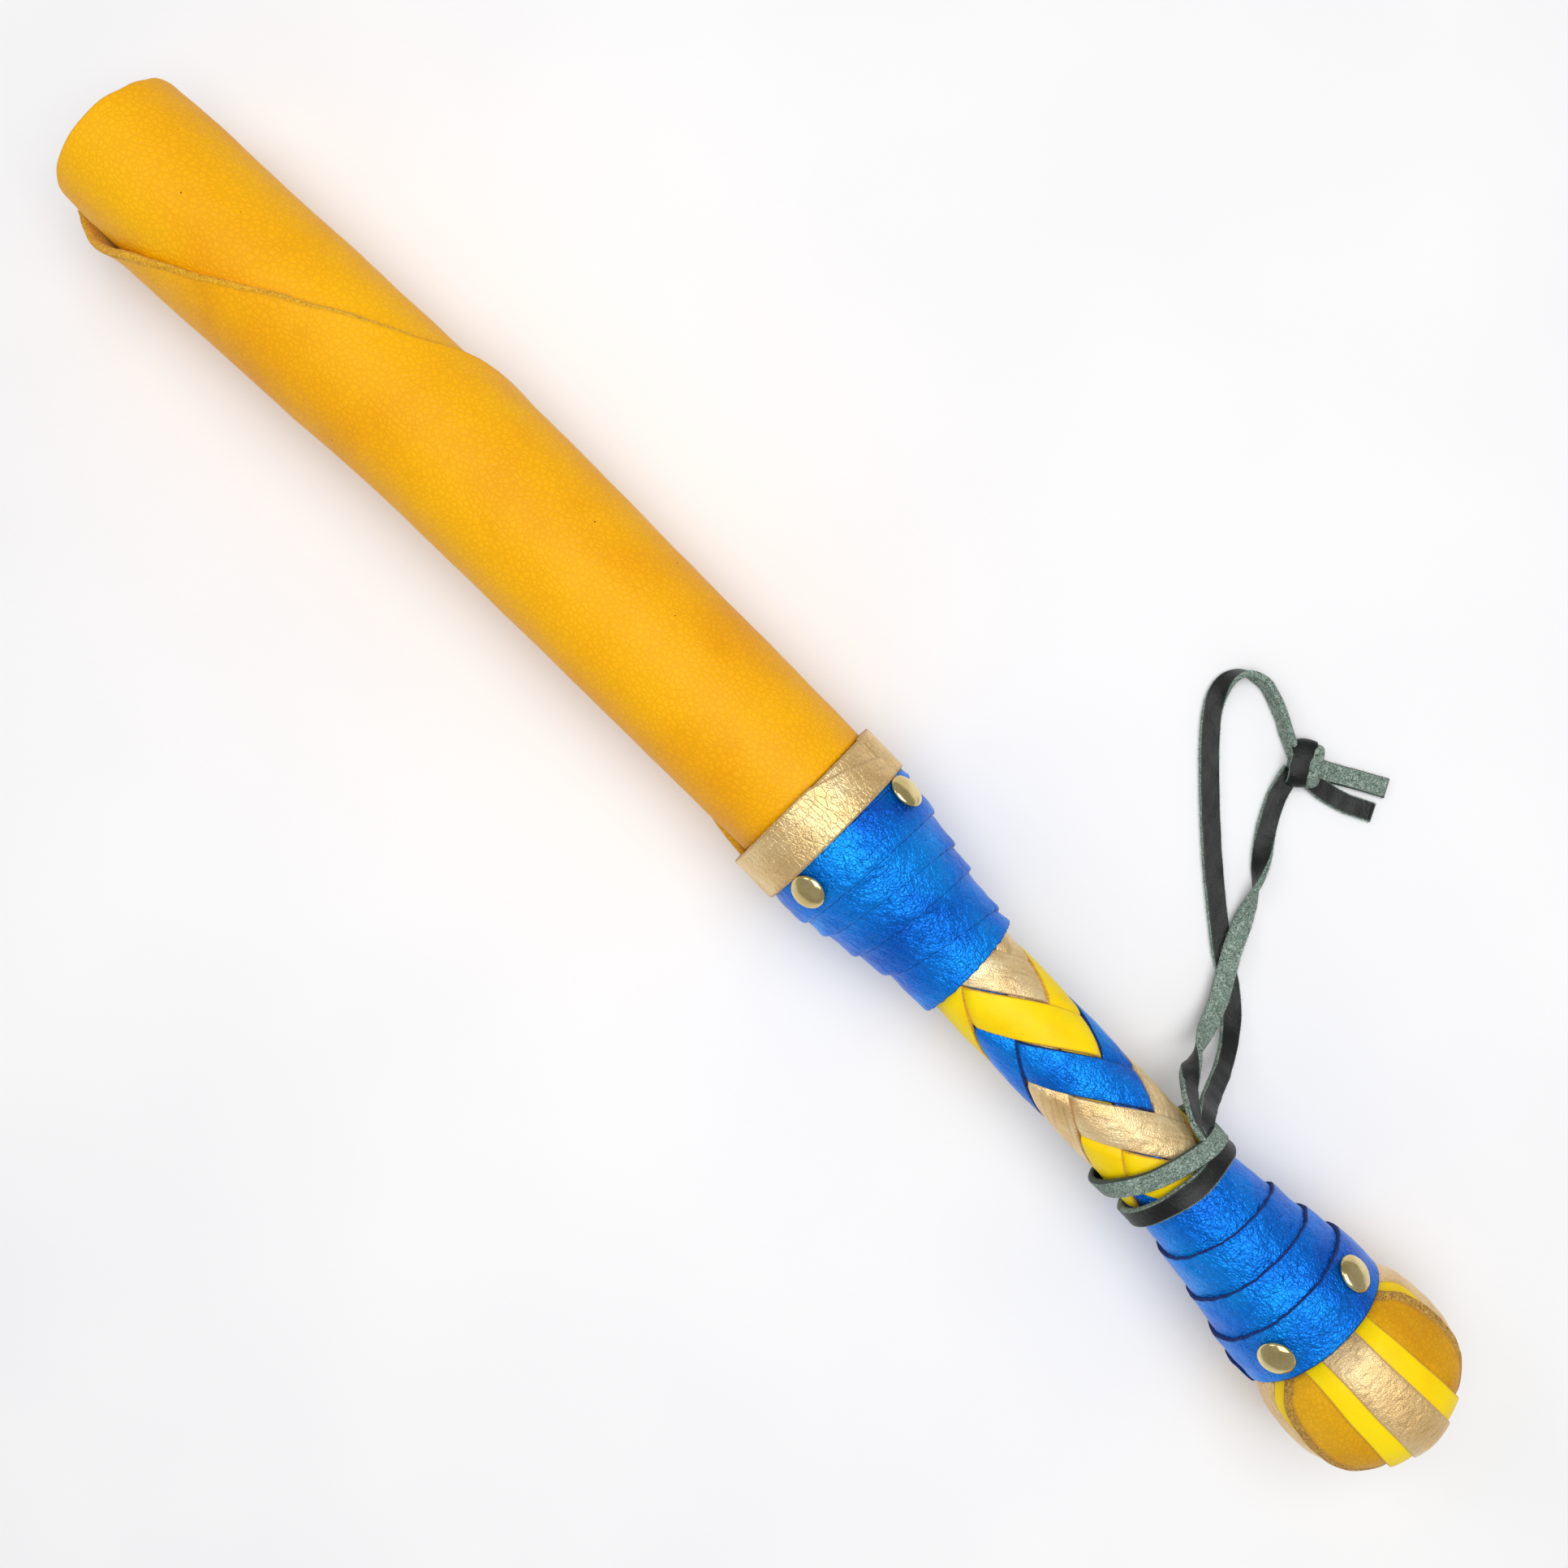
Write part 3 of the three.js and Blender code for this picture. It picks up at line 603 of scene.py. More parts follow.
# Between these angles the upper turn's front edge slants back, and a wedge of the lower turn shows.
WEDGE_FROM, WEDGE_TO, WEDGE_DEPTH = 5.0, 62.0, 7.5
upper_theta = spread(WEDGE_TO - 361, WEDGE_TO, 170, 2.0)[None, :]
open_share = np.maximum(0, (upper_theta - WEDGE_FROM) / (WEDGE_TO - WEDGE_FROM))
across = spread(0, 1, 22, 0.06)[:, None]
upper_start = BAND_START - 0.2 + WEDGE_DEPTH * open_share
upper_x = upper_start + (BAND_STOP + 0.2 - upper_start) * across
tuck = 1.0 * smooth((WEDGE_TO - 350 - upper_theta) / 11)
upper_band = around(upper_x, BAND_UPPER_R - tuck, upper_theta)
upper_band = around(upper_x, BAND_UPPER_R - tuck + 0.08 * wobble(upper_band, 22, 7), upper_theta)
band = slab("band_upper_turn_gold", upper_band, BAND_UPPER_THICK, [GOLD, GOLD_RAW], "stick", lip=0.6)
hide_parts("band_upper_turn")


# ---- collars ----
def wound(stations, phi):
    """The strip's edge at winding angle phi, from (phi, x) stations."""
    return np.interp(phi, [s[0] for s in stations], [s[1] for s in stations])


UPPER_EDGE = [
    (-810, 250), (-450, 255), (-270, 262), (-90, 268.8), (90, 272.8), (270, 275.1), (450, 282.6),
    (630, 284.3), (810, 290.1), (990, 292.9), (1170, 302.5), (1350, 307.9), (1530, 306.7), (1710, 307.6),
]
# The collar's radius along the stick, as (x, r).
UPPER_CONE = [
    (256, 23.2), (262, 23.2), (269, 22.4), (275, 20.9), (281, 19.7), (287, 18.4), (293, 17.0), (300, 16.1),
    (309, 15.2),
]
UPPER_COLLAR_START = 257
UPPER_COLLAR_THICK = 1.1
UNDER_BAND_COLLAR_R = 22.2
phi = spread(-450, 1690, 760, 4.0)[None, :]
share = np.concatenate([[-0.2, -0.1, -0.04], spread(0, 1, 18, 0.045)])[:, None]
edge_x = wound(UPPER_EDGE, phi)
pitch = edge_x - wound(UPPER_EDGE, phi - 360)
collar_x = edge_x - pitch * (1 - share)
front = np.exp(-((((phi + 180) % 360 - 180) / 62.0) ** 4))
front = front * (0.6 + 0.4 * smooth((phi - 430) / 120))
amp = 0.62 * (1 - 0.92 * front)
soft = 0.35 + 1.7 * front
from_step = np.minimum(share, 1 - share) * pitch
ride_up = (2 * share - 1) * amp * np.where(share > 0, smooth(from_step / soft), 1)
collar_r = np.interp(collar_x, *zip(*UPPER_CONE)) + ride_up - 0.6
collar_r = collar_r - np.where(share < 0, 0.7, 0)
collar_r = np.where(collar_x < BAND_STOP + 0.3, np.minimum(collar_r, UNDER_BAND_COLLAR_R), collar_r)
collar = around(np.maximum(collar_x, UPPER_COLLAR_START), collar_r, phi)
collar_r = collar_r + 0.13 * wobble(collar, 31, 9) + 0.07 * wobble(collar, 32, 3.5)
collar_cut = 0.22 * wobble(collar, 33, 2.2) * smooth((share - 0.8) * 5)
collar = around(np.maximum(collar_x + collar_cut, UPPER_COLLAR_START), collar_r, phi)
pressed = smooth(front * 2 - 0.6)
collar = slab(
    "upper_collar_strip", collar, UPPER_COLLAR_THICK, [BLUE, BLUE_RAW], "stick", lip=0.42 - 0.38 * pressed,
    blunt=0.3 + 0.7 * pressed,
)
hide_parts("upper_collar")

LOWER_EDGE = [
    (-450, 380), (-270, 386), (-90, 395), (90, 402.9), (270, 408), (450, 413), (630, 419.5), (810, 422),
    (990, 428), (1170, 431), (1350, 434),
]
LOWER_CONE = [
    (378, 13.8), (388, 14.2), (393, 15.0), (397, 15.8), (403, 16.9), (409.5, 17.9), (416, 19.5), (422, 21),
    (428, 22.3), (438, 22.9),
]
LOWER_COLLAR_END = 435.2
STRIP_WIDTH = 14.5
phi = spread(-540, 990, 552, 4.0)[None, :]
share = spread(0, 1, 22, 0.045)[:, None]
edge_x = wound(LOWER_EDGE, phi)
pitch = np.maximum(wound(LOWER_EDGE, phi + 360) - edge_x, 9.0)
strip_width = np.maximum(STRIP_WIDTH, pitch * 1.2)
collar_x = np.minimum(edge_x + strip_width * share, LOWER_COLLAR_END + 0.6 * share)
fall = 0.55 * (1 - 2 * np.minimum(strip_width * share / pitch, 1.25)) * smooth((collar_x - 374) / 16)
collar_r = np.interp(collar_x, *zip(*LOWER_CONE)) + fall - 0.55
collar = around(collar_x, collar_r, phi)
collar_r = collar_r + 0.12 * wobble(collar, 34, 8) + 0.06 * wobble(collar, 35, 3.5)
collar = around(collar_x + 0.2 * wobble(collar, 36, 4) * (1 - share), collar_r, phi)
skived = 0.65 + 0.55 * smooth((collar_x - 385) / 5)
collar = slab("lower_collar_strip", collar, skived, [BLUE, BLUE_RAW], "stick", lip=0.42)
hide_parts("lower_collar")


# ---- rivets ----
def rivet_place(x, r, theta):
    """A function that puts (height, radius, angle) of a rivet on the collar at x, r and theta."""
    angle = math.radians(theta)
    out = np.array([0.0, math.sin(angle), math.cos(angle)])
    side = np.array([0.0, math.cos(angle), -math.sin(angle)])
    centre = around(x, r, theta)

    def place(height, radius, turn):
        turn = np.radians(turn)
        along = (radius * np.cos(turn))[..., None] * np.array([1.0, 0, 0])
        beside = (radius * np.sin(turn))[..., None] * side
        return centre + height[..., None] * out + along - beside

    return place


# A rivet's stem and domed cap, as (height, radius).
CAP = [
    (-6.2, 0.15), (-6.2, 1.3), (-0.3, 1.4), (-0.3, 4.4), (-0.15, 4.68), (0.15, 4.75), (0.45, 4.68),
    (0.8, 4.35), (1.2, 3.6), (1.5, 2.7), (1.7, 1.6), (1.78, 0.6), (1.79, 0.12),
]
# x, r and the angles of each collar's rivets.
RIVETS = {
    "upper": (263.4, 23.75, [55, -41, -131, 142]),
    "lower": (427.4, 22.7, [43, -35, -128, 138]),
}
for row, (x, r, angles) in RIVETS.items():
    for number, theta in enumerate(angles, 1):
        cap = turned(
            f"{row}_rivet_{number}_cap", CAP, [BRASS], "stick", rivet_place(x, r, theta), 40, rough=0.03,
            seed=40 + number, size=3,
        )
        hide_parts(f"{row}_rivet_{number}")

# ---- braid ----
# p = theta - TWIST x is constant along a right-hand strand and q = theta + TWIST x along a left-hand one.
TWIST = 360 / 115.5
STRANDS = 6
SPACING = 360 / STRANDS
CROSSING_X, CROSSING_THETA = 327.4, 9.3
RIGHT_START = CROSSING_THETA - TWIST * CROSSING_X
LEFT_START = CROSSING_THETA + TWIST * CROSSING_X
STRAND_HALF = SPACING / 2 * 0.965
STRAND_TOP, STRAND_LOW, STRAND_DIVE = 12.7, 11.1, 0.9
STRAND_THICK = 1.4
BRAID_X = (293.0, 398.0)
STRAND_LOOKS = [
    ("yellow", [LEMON, LEMON_RAW], "lemon_leather"),
    ("gold", [GOLD_STRAND, GOLD_RAW], "gold_leather"),
    ("blue", [BLUE, BLUE_RAW], "blue_leather"),
]


def strand_height(m):
    """Radius of a strand's middle at crossing m: on top from 4.5 to 7.5, underneath from 1.5 to 4.5."""
    into = 1.5 - np.abs((m + 3) % 6 - 3)
    dive = STRAND_DIVE * (1 - smooth(into / 0.16))
    plunge = (STRAND_TOP - STRAND_DIVE - STRAND_LOW) * smooth(-into / 0.1)
    return STRAND_TOP - np.where(into > 0, dive, STRAND_DIVE) - np.where(into < 0, plunge, 0)


def strand(side, number):
    """One strand of the braid. It dives under the lower collar at its end."""
    i = number - 1
    centre = np.linspace(*BRAID_X, 128)[:, None]
    v = spread(-1, 1, 18, 0.09)[None, :]
    if side == "right":
        p = RIGHT_START + SPACING * i + STRAND_HALF * v + 0 * centre
        q = RIGHT_START + SPACING * i + 2 * TWIST * centre + 0 * v
        m = (q - LEFT_START) / SPACING + i
        tint = i % 3
    else:
        q = LEFT_START + SPACING * i + STRAND_HALF * v + 0 * centre
        p = LEFT_START + SPACING * i - 2 * TWIST * centre + 0 * v
        m = (p - RIGHT_START) / SPACING + i + 3
        tint = (-2 - i) % 3
    r = strand_height(m) + 0.42 * (1 - v**2) - 0.25 - 1.6 * smooth((centre - 380) / 8)
    place = around((q - p) / (2 * TWIST), r, (p + q) / 2)
    r = r + 0.07 * wobble(place, 50 + number, 5)
    colour, looks, slot = STRAND_LOOKS[tint]
    grid = around((q - p) / (2 * TWIST), r, (p + q) / 2)
    obj = slab(f"braid_{side}_{number}_{colour}", grid, STRAND_THICK, looks, "stick", lip=0.5)
    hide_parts(f"braid_strand_{side}_{number}")


for number in range(1, STRANDS + 1):
    strand("right", number)
    strand("left", number)

# ---- pommel ----
KNOB = [
    (434.6, 19.4), (435.8, 20.4), (438.5, 22.6), (442, 24.1), (447, 25), (452, 25.3), (457, 25), (461, 23.9),
    (464.2, 21.6), (466.2, 18.2), (467, 13.5), (467.3, 7), (467.4, 0.3),
]
FLATTEN = 0.9
HUB = 446.0
OUTLINE_BLEND = 25
COVER_THICK, COVER_SINK = 0.9, -0.5


def meridian():
    """The knob's softened outline at even distances: the distances, x and r."""
    line = np.array(KNOB)
    along = np.concatenate([[0], np.cumsum(np.hypot(*np.diff(line, axis=0).T))])
    fine = np.linspace(0, along[-1], 400)
    x, r = np.interp(fine, along, line[:, 0]), np.interp(fine, along, line[:, 1])
    kernel = np.hanning(OUTLINE_BLEND) / np.hanning(OUTLINE_BLEND).sum()
    side = OUTLINE_BLEND // 2
    x, r = (np.convolve(np.pad(v, side, "reflect", reflect_type="odd"), kernel, "valid") for v in (x, r))
    return fine, x, np.maximum(r, 0.2)


KNOB_RUN, KNOB_X, KNOB_R = meridian()


def on_knob(s, theta, lift):
    """Points at distance s along the knob's outline and lift above it."""
    s, theta, lift = np.broadcast_arrays(*[np.asarray(v, float) for v in (s, theta, lift)])
    x, r = np.interp(s, KNOB_RUN, KNOB_X), np.interp(s, KNOB_RUN, KNOB_R)
    dx = np.interp(s + 0.5, KNOB_RUN, KNOB_X) - np.interp(s - 0.5, KNOB_RUN, KNOB_X)
    dr = np.interp(s + 0.5, KNOB_RUN, KNOB_R) - np.interp(s - 0.5, KNOB_RUN, KNOB_R)
    size = np.hypot(dx, dr)
    points = around(x - lift * dr / size, np.maximum(r + lift * dx / size, 0.15), theta)
    points[..., 2] *= FLATTEN
    return points


core_s = np.linspace(0.5, KNOB_RUN[-1] - 0.5, 40)
core_x = np.interp(core_s, KNOB_RUN, KNOB_X) - 0.1
core_r = np.maximum(np.interp(core_s, KNOB_RUN, KNOB_R), 1.5) - 1.2
core_profile = [(436.2, 7.3), *zip(core_x, core_r)]


def flattened(x, r, theta):
    points = around(x, r, theta)
    points[..., 2] *= FLATTEN
    return points


core = turned("pommel_foam_core", core_profile, [FOAM], "stick", flattened, 72, rough=0.1, seed=61, size=6)
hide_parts("pommel_core")

cover_s = spread(0, KNOB_RUN[-1], 60, 0.8)[:, None]
cover = on_knob(cover_s, ring_theta, COVER_SINK)
cover_lift = COVER_SINK + 0.14 * wobble(cover, 62, 8) + 0.08 * wobble(cover, 63, 3)
cover = slab(
    "pommel_cover_gold", on_knob(cover_s, ring_theta, cover_lift), COVER_THICK, [GOLD, GOLD_RAW], "stick",
    lip=0.5, wrap=(False, True),
)
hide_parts("pommel_cover")

# Half of a leaf's width in degrees, as (x, angle).
LEAF_HALF = [
    (430, 42), (436, 49), (440, 54), (445, 58), (452, 59.5), (458, 58), (463, 52), (466.5, 42), (468, 27),
]
LEAF_STOP = float(np.interp(465.0, KNOB_X, KNOB_RUN))


def past_collar(x):
    """0 where a piece is held down under the collar's end and 1 where it lies free."""
    return smooth((x - 435) / 7)


def leaf(name, node, middle, widen, lift, thick, raw, looks, seed):
    """A tongue-shaped leaf about the angle middle, thin and pressed down where the collar holds it."""
    s = spread(0, LEAF_STOP, 46, 0.9)[:, None]
    station = np.interp(s, KNOB_RUN, KNOB_X)
    half = np.interp(station, *zip(*LEAF_HALF)) + widen * (1 - 0.7 * smooth((station - 438) / 12))
    half = half * (1 - 0.12 * smooth((s - LEAF_STOP + 5) / 5))
    v = spread(-1, 1, 54, 0.03)[None, :]
    base = on_knob(s, middle + half * v, lift)
    free = past_collar(station)
    ragged = 0.3 * wobble(base, seed, 6) + 0.25 * wobble(base, seed + 1, 1.8)
    rise = (lift + 0.12 * wobble(base, seed + 2, 9)) * (0.33 + 0.67 * free)
    grid = on_knob(s, middle + (half + ragged * np.abs(v) ** 6) * v, rise)
    thick = thick * (0.5 + 0.5 * free) + 0 * v
    obj = slab(name, grid, thick, looks, "stick", lip=np.minimum(thick, 1.2), raw=(raw * 0.7, raw))
    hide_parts(node)


for end, middle in (("front", 0), ("back", 180)):
    leaf(
        f"pommel_under_leaf_{end}_lemon", f"pommel_under_leaf_{end}", middle, widen=12.5, lift=0.4,
        thick=0.7, raw=0.3, looks=[LEMON, LEMON_RAW], seed=70 + middle,
    )
    leaf(
        f"pommel_leaf_{end}_mustard", f"pommel_leaf_{end}", middle, widen=0, lift=1.35, thick=1.6, raw=3.4,
        looks=[MUSTARD, MUSTARD_RAW], seed=75 + middle,
    )


def knob_reach(alpha, y):
    """Distance from the hub to the knob's surface in the direction alpha of the upright plane at y."""
    low, high = np.zeros(np.broadcast(alpha, y).shape), np.full(np.broadcast(alpha, y).shape, 60.0)
    for _ in range(26):
        middle = (low + high) / 2
        x, z = HUB + middle * np.cos(alpha), middle * np.sin(alpha)
        radius = np.interp(x, KNOB_X[:-4], KNOB_R[:-4], right=0.0)
        inside = np.hypot(y, z) < radius
        low, high = np.where(inside, middle, low), np.where(inside, high, middle)
    return low


STRAP_SWEEP = 124
COLLAR_PRESS = 2.3


def over_end(reach, alpha, y):
    """Points at reach from the hub in the direction alpha of the upright plane at y."""
    x, z = HUB + reach * np.cos(alpha), reach * np.sin(alpha) * FLATTEN
    return np.stack([x, y + bow(HUB), z], -1)


def strap(name, node, half_width, lift, thick, looks, seed):
    """A strap over the knob's end, from the collar's front to its back."""
    alpha = np.radians(np.linspace(STRAP_SWEEP, -STRAP_SWEEP, 160))[:, None]
    taper = 0.9 + 0.14 * smooth((np.cos(alpha) + 0.5) / 1.3)
    y = spread(-half_width, half_width, 24, 0.6)[None, :] * taper
    reach = knob_reach(alpha, y)
    for _ in range(6):
        reach[1:-1] = (reach[:-2] + 2 * reach[1:-1] + reach[2:]) / 4
    free = past_collar(HUB + reach * np.cos(alpha))
    sag = lift * (0.82 + 0.18 * smooth((np.abs(np.sin(alpha)) - 0.3) * 3)) - 0.35 * (y / half_width) ** 4
    reach = reach + sag - COLLAR_PRESS * (1 - free)
    place = over_end(reach, alpha, y)
    shift = 0.12 * wobble(place, seed + 1, 12)
    grid = over_end(reach + 0.1 * wobble(place, seed, 7), alpha, y + shift)
    obj = slab(name, grid, thick * (0.7 + 0.3 * free), looks, "stick", lip=0.5)
    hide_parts(node)


strap(
    "pommel_strap_wide_lemon", "pommel_strap_wide", half_width=11.7, lift=3.4, thick=1.1,
    looks=[LEMON, LEMON_RAW], seed=81,
)
strap(
    "pommel_strap_narrow_gold", "pommel_strap_narrow", half_width=6.0, lift=4.6, thick=1.0,
    looks=[GOLD_STRAP, GOLD_RAW], seed=83,
)

# ---- lanyard ----
LACE_WIDTH = 5.5
LACE_THICK = 1.8
LACE_LIP = 0.45
LACE_ACROSS = spread(-1, 1, 16, 0.16)
BLACK_OUT, SUEDE_OUT = [LACE_BLACK, LACE_SUEDE], [LACE_SUEDE, LACE_BLACK]
HITCH_R = 15.45
# Heights from the stick's axis: the table, and the middle of a lace that lies on it.
TABLE_Z = -27.9
LYING = -26.85
LOOP_STRAND = [
    (377.4, 18.8, 3), (377.9, 21.2, -3), (378.4, 25.4, -10), (378.3, 31, -17), (376.6, 37, -22.4),
    (372.6, 43.5, -25.6), (366.5, 49.3, LYING), (358.5, 54.5, LYING), (350.2, 61.1, LYING), (343, 67, LYING),
    (335, 74, LYING), (325, 83.4, LYING), (316.2, 92.2, LYING), (309.6, 100.1, LYING), (306.6, 107.3, LYING),
    (308.6, 113, LYING), (314.8, 114.8, LYING), (322, 112.6, LYING), (328.4, 109.4, LYING + 0.3),
    (332, 107.6, LYING + 0.8), (335.2, 106.3, LYING + 1.4),
]
STRAIGHT_STRAND = [
    (371.2, 18.8, 3), (370.6, 21.2, -3), (369.7, 25.4, -10), (369.3, 31, -16.6), (368.3, 37.5, -21.2),
    (366.2, 44, -23.2), (363, 50.2, -23.9), (359.4, 56.8, -24.3), (356.4, 64, -25.3), (353, 72.2, LYING),
    (348.1, 79.8, LYING), (342.8, 88, LYING), (339.4, 94.6, LYING), (337.9, 99, LYING + 0.6),
    (336.8, 103.5, LYING + 1.2),
]


def curve(points, count):
    """Even points of a smooth curve through points."""
    p = np.array(points, float)
    p = np.vstack([2 * p[0] - p[1], p, 2 * p[-1] - p[-2]])
    t = np.linspace(0, len(p) - 3 - 1e-9, 40 * len(p))
    i = t.astype(int)
    f = (t - i)[:, None]
    a, b, c, d = p[i], p[i + 1], p[i + 2], p[i + 3]
    line = 0.5 * (2 * b + (c - a) * f + (2 * a - 5 * b + 4 * c - d) * f**2 + (3 * b - a - 3 * c + d) * f**3)
    along = np.concatenate([[0], np.cumsum(np.linalg.norm(np.diff(line, axis=0), axis=1))])
    even = np.linspace(0, along[-1], count)
    return np.stack([np.interp(even, along, line[:, k]) for k in range(3)], -1), even


def ribbon(name, points, body, facing, roll, looks, count, seed):
    """A flat lace along points. facing(along) gives its normal and roll(along) its twist in degrees."""
    line, along = curve(points, count)
    tangent = np.gradient(line, axis=0)
    tangent /= np.linalg.norm(tangent, axis=1, keepdims=True)
    normal = facing(along)
    normal = normal - (normal * tangent).sum(1, keepdims=True) * tangent
    normal /= np.linalg.norm(normal, axis=1, keepdims=True)
    side = np.cross(tangent, normal)
    twist = np.radians(roll(along))[:, None]
    turned_side = side * np.cos(twist) + normal * np.sin(twist)
    normal = normal * np.cos(twist) - side * np.sin(twist)
    side = turned_side
    v = LACE_ACROSS[None, :, None] * LACE_WIDTH / 2
    grid = line[:, None] - side[:, None] * v
    grid = grid + (0.12 * wobble(grid, seed, 5))[..., None] * normal[:, None]
    reach = LACE_THICK / 2 * np.abs(normal[:, 2]) + LACE_WIDTH / 2 * np.abs(side[:, 2])
    grid[..., 2] += np.maximum(0, TABLE_Z + reach - line[:, 2])[:, None]
    fuzz = (1, 2.6, looks.index(LACE_SUEDE), seed)
    return slab(name, grid, LACE_THICK, looks, body, lip=LACE_LIP, fuzz=fuzz), line


def lying_down(along):
    """The lace hangs on edge at the hitch and lies flat on the table."""
    share = smooth((along - 8) / 37)[:, None]
    return (1 - share) * np.array([0.0, 1.0, 0.0]) + share * np.array([0.0, 0.0, 1.0])


def facing_always(normal):
    return lambda along: np.tile(normal, (len(along), 1))


def no_roll(along):
    return 0 * along


ON_COLLAR_X, COLLAR_SLOPE = 384.5, 0.2


def hitch_turn(name, x, tilt, lift, lift_theta, looks, seed):
    """One turn of the lace round the handle. It opens out over the collar and rises by lift at lift_theta."""
    theta = np.linspace(0, 360, 150, endpoint=False)[None, :]
    v = LACE_ACROSS[:, None] * LACE_WIDTH / 2
    ring_x = x + tilt * np.sin(np.radians(theta)) + v
    on_collar = COLLAR_SLOPE * np.maximum(0, ring_x - ON_COLLAR_X)
    r = HITCH_R + on_collar + lift * np.exp(-(((theta - lift_theta) / 30) ** 2))
    base = around(ring_x, r, theta)
    grid = around(ring_x + 0.25 * wobble(base, seed, 12), r + 0.15 * wobble(base, seed + 1, 8), theta)
    fuzz = (0, 3.0, looks.index(LACE_SUEDE), seed)
    return slab(name, grid, LACE_THICK, looks, "hitch", lip=LACE_LIP, wrap=(False, True), fuzz=fuzz)


turn_a = hitch_turn(
    "lanyard_hitch_turn_tip_side", x=377.2, tilt=5.8, lift=1.3, lift_theta=70, looks=SUEDE_OUT, seed=91
)
turn_b = hitch_turn(
    "lanyard_hitch_turn_pommel_side", x=384.2, tilt=2.0, lift=0.2, lift_theta=100, looks=BLACK_OUT,
    seed=93,
)
# The bight crosses both turns on the lanyard's side and bends down at its two ends.
BIGHT_X, BIGHT_MIDDLE, BIGHT_HALF = (375.2, 388.9), 382, 7.0
BIGHT_THETA, BIGHT_HALF_ANGLE = 116, 11
BIGHT_LIFT = 2.4
bight_x = spread(*BIGHT_X, 34, 0.8)[:, None]
bight_theta = BIGHT_THETA + LACE_ACROSS[None, :] * BIGHT_HALF_ANGLE
bight_r = HITCH_R + BIGHT_LIFT - 1.4 * (np.abs(bight_x - BIGHT_MIDDLE) / BIGHT_HALF) ** 6
bight = around(bight_x, bight_r, bight_theta)
bight = slab("lanyard_hitch_bight", bight, LACE_THICK, BLACK_OUT, "hitch", lip=LACE_LIP)
ROOTS = [
    [(381.0, 14.4, 8.0), (378.6, 15.8, 6.4), (377.4, 18.7, 3.2), (377.8, 20.8, -1.5)],
    [(380.0, 13.6, 9.2), (375.5, 15.1, 8.2), (372.2, 17.7, 5.2), (371.1, 19.3, 1.8), (370.7, 20.9, -1.5)],
]
roots = [
    ribbon(
        f"lanyard_hitch_root_{number}", points, "hitch", facing_always([0.0, 0.94, 0.34]), no_roll, BLACK_OUT,
        count=30, seed=108 + number,
    )[0]
    for number, points in enumerate(ROOTS, 1)
]
for part in (turn_a, turn_b, bight, *roots):
    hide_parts("lanyard_hitch")


def eased_turn(along, degrees, start, length):
    return degrees * smooth((along - start) / length)


def loop_roll(along):
    """The loop strand turns part of the way over round the loop's far end."""
    return eased_turn(along, degrees=105, start=124, length=22)


def straight_roll(along):
    """The straight strand turns over near the hitch and back again further out."""
    over = eased_turn(along, degrees=180, start=1, length=34)
    return over - eased_turn(along, degrees=180, start=56, length=34)


loop_strand, loop_line = ribbon(
    "lanyard_loop_strand_lace", LOOP_STRAND, "loop", lying_down, loop_roll, BLACK_OUT, count=230, seed=95
)
straight_strand, straight_line = ribbon(
    "lanyard_straight_strand_lace", STRAIGHT_STRAND, "loop", lying_down, straight_roll, BLACK_OUT,
    count=160, seed=97,
)
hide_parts("lanyard_strand_1")
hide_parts("lanyard_strand_2")


def knot_turn(name, centre, heading, reach, height, width, looks, seed):
    """One turn of the knot: the lace, width wide, round the bundle, which runs along heading.

    reach and height are the ring's half sizes beside the bundle and upwards.
    """
    heading = math.radians(heading)
    ahead = np.array([math.cos(heading), math.sin(heading), 0.0])
    beside = np.array([-math.sin(heading), math.cos(heading), 0.0])
    angle = np.linspace(2 * math.pi, 0, 72, endpoint=False)[None, :, None]
    v = LACE_ACROSS[:, None, None]
    bulge = 1 - 0.16 * v**2
    ring = beside * reach * np.cos(angle) * bulge + np.array([0, 0, 1.0]) * height * np.sin(angle) * bulge
    grid = np.array(centre) + ring + ahead * (v * width / 2 + 0.6 * np.cos(angle + 0.6))
    grid = grid + (0.16 * wobble(grid, seed, 4))[..., None]
    grid[..., 2] = np.maximum(grid[..., 2], TABLE_Z + LACE_THICK / 2)
    fuzz = (0, 2.6, looks.index(LACE_SUEDE), seed)
    return slab(name, grid, LACE_THICK, looks, "loop", lip=LACE_LIP, wrap=(False, True), fuzz=fuzz)


LOOP_KNOT = [
    knot_turn(
        "lanyard_knot_turn_1", (336.9, 106.4, -24.7), heading=42, reach=5.9, height=2.6, width=6.6,
        looks=BLACK_OUT, seed=101,
    ),
    knot_turn(
        "lanyard_knot_turn_2", (339.9, 108.0, -24.5), heading=40, reach=5.2, height=2.8, width=3.2,
        looks=SUEDE_OUT, seed=103,
    ),
]
TAILS = [
    [
        (334.0, 105.0, LYING + 1.6), (339, 107.5, LYING + 1.2), (345.5, 110.9, LYING), (352, 114.6, LYING),
        (359, 118.4, LYING),
    ],
    [
        (335.5, 103.4, LYING + 1.4), (339.5, 105, LYING + 0.9), (346.5, 105.6, LYING), (353.5, 107.4, LYING),
        (361, 111, LYING),
    ],
]
for number, points in enumerate(TAILS, 1):
    looks = SUEDE_OUT if number == 1 else BLACK_OUT
    tail, _ = ribbon(
        f"lanyard_tail_{number}", points, "loop", facing_always([0.0, 0.0, 1.0]), no_roll, looks,
        count=40, seed=105 + number,
    )
    LOOP_KNOT.append(tail)
for part in LOOP_KNOT:
    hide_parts("lanyard_knot")


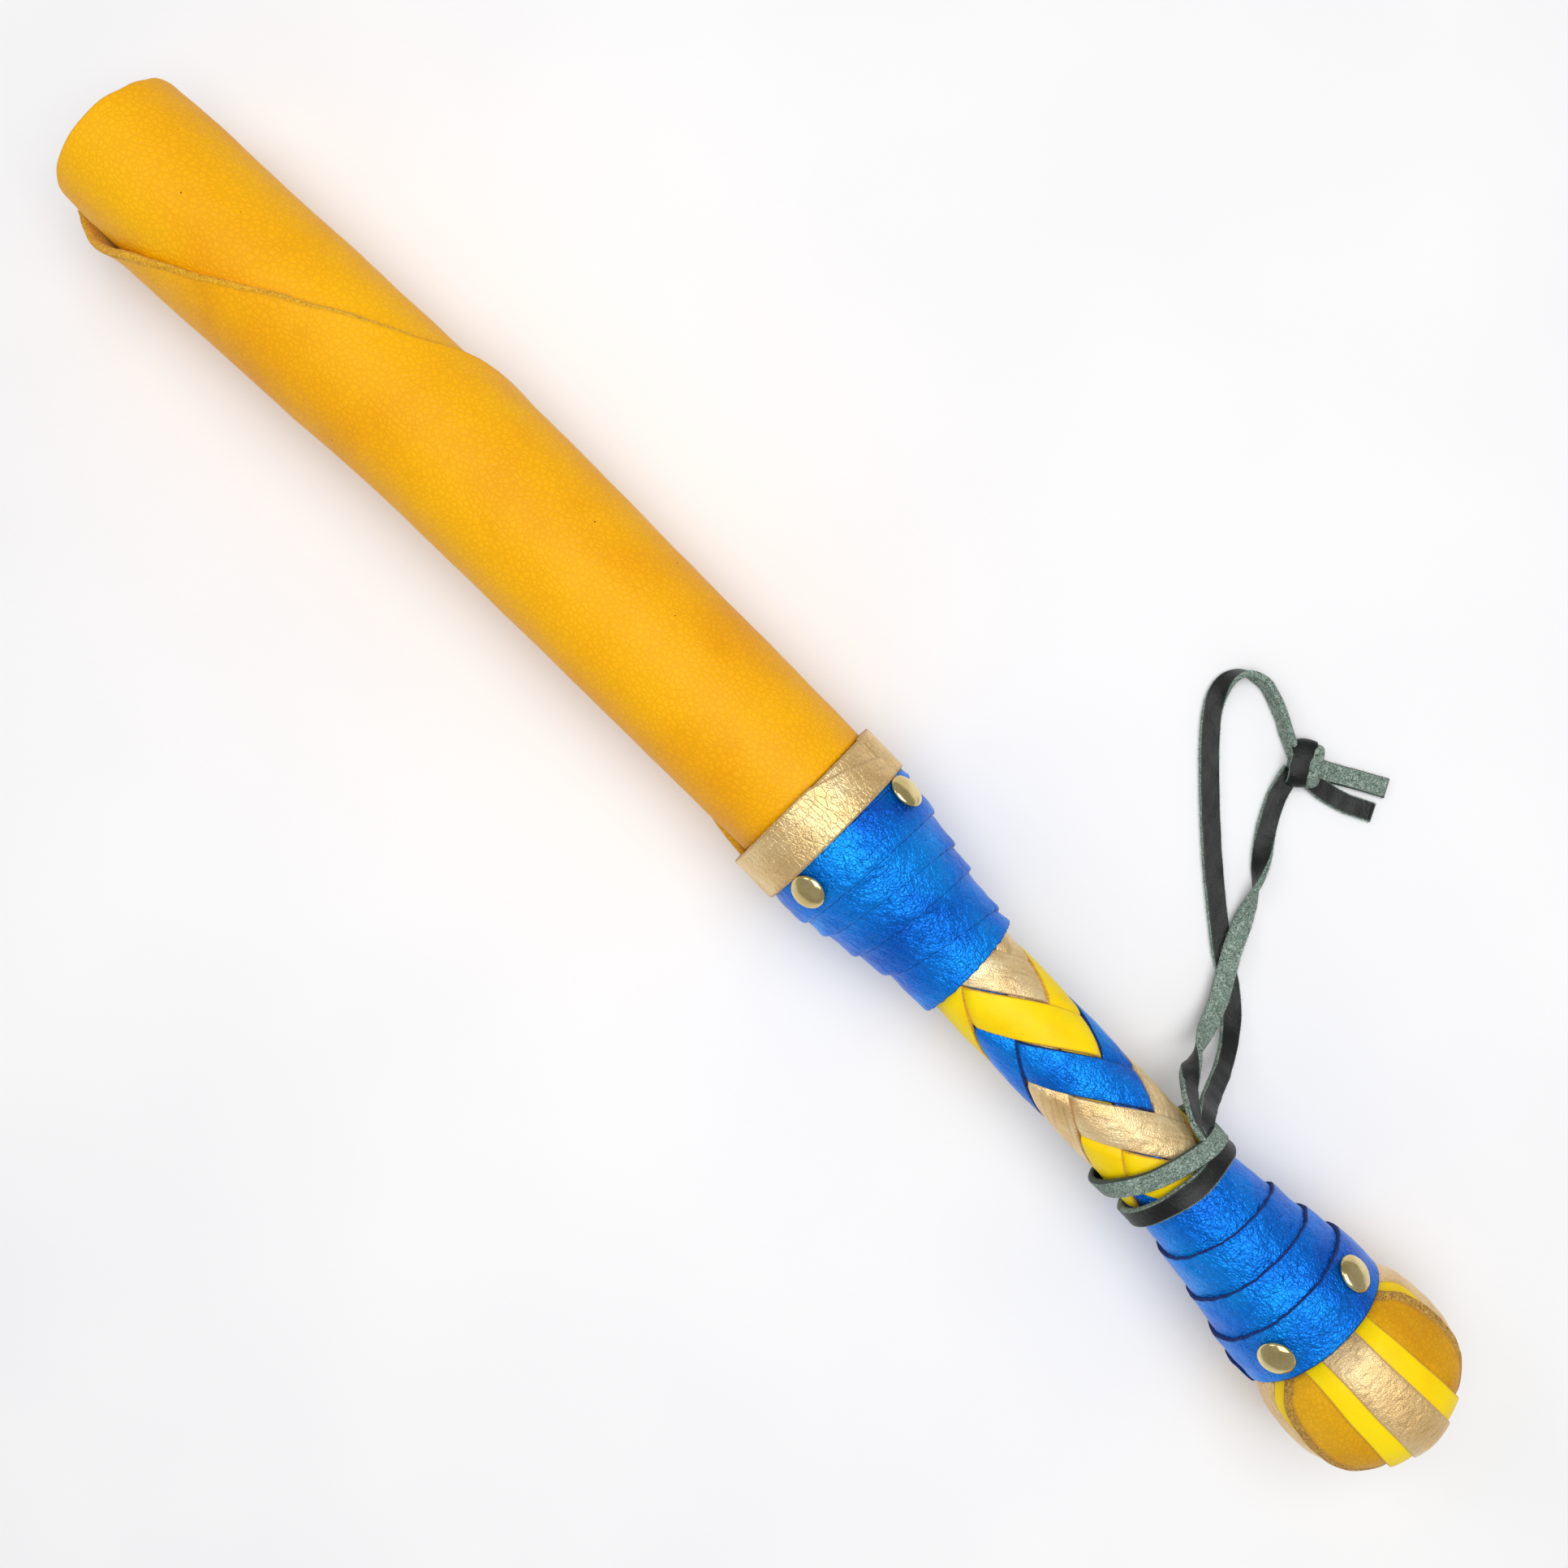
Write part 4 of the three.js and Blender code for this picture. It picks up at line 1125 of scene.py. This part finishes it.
# ---- floor, light and camera ----
FLOOR_HALF = 4.0
FLOOR_GAP = 0.0001
WORLD_STRENGTH = 0.38


def floor_look():
    look = Look("pale_table", **{"Specular IOR Level": 0.2})
    tint = look.noise(6, 3.0)
    colour = look.ramp(tint, [(0.3, (243, 243, 245)), (0.7, (250, 250, 251))])
    look.bump(look.noise(900, 3.0), 0.05, 0.05)
    return look.done(colour, look.between(tint, 0.6, 0.7))


floor_mesh = bpy.data.meshes.new("table")
floor_z = START_BOUNDS[0][2] - FLOOR_GAP
corners = [(sx * FLOOR_HALF, sy * FLOOR_HALF, floor_z) for sx, sy in ((-1, -1), (1, -1), (1, 1), (-1, 1))]
floor_mesh.from_pydata(corners, [], [(0, 1, 2, 3)])
floor_mesh.materials.append(floor_look())
floor = bpy.data.objects.new("table", floor_mesh)
bpy.context.scene.collection.objects.link(floor)

world_light = bpy.data.worlds.new("studio")
world_light.use_nodes = True
backdrop = world_light.node_tree.nodes["Background"]
backdrop.inputs["Color"].default_value = (1.0, 1.0, 1.0, 1.0)
backdrop.inputs["Strength"].default_value = WORLD_STRENGTH
bpy.context.scene.world = world_light


def softbox(name, place, size, power):
    """A square area light that looks at the middle of the stick."""
    data = bpy.data.lights.new(name, "AREA")
    data.shape = "SQUARE"
    data.size = size
    data.energy = power
    light = bpy.data.objects.new(name, data)
    light.location = place
    light.rotation_euler = (-light.location).to_track_quat("-Z", "Y").to_euler()
    bpy.context.scene.collection.objects.link(light)


softbox("overhead", (0.05, 0.08, 0.95), size=0.8, power=6.9)
softbox("tip_side", (-0.9, -0.3, 0.9), size=0.5, power=1.5)
bpy.context.scene.view_settings.view_transform = "Standard"

CAMERA_PLACE = [240.3, 2.3, 431.6]
CAMERA_TURN = 44.8
CAMERA_LENS = 38.2
camera_data = bpy.data.cameras.new("camera")
camera_data.lens = CAMERA_LENS
camera_data.sensor_width = 36
camera = bpy.data.objects.new("camera", camera_data)
camera.location = world(CAMERA_PLACE)
camera.rotation_euler = (0, 0, math.radians(CAMERA_TURN))
bpy.context.scene.collection.objects.link(camera)
bpy.context.scene.camera = camera
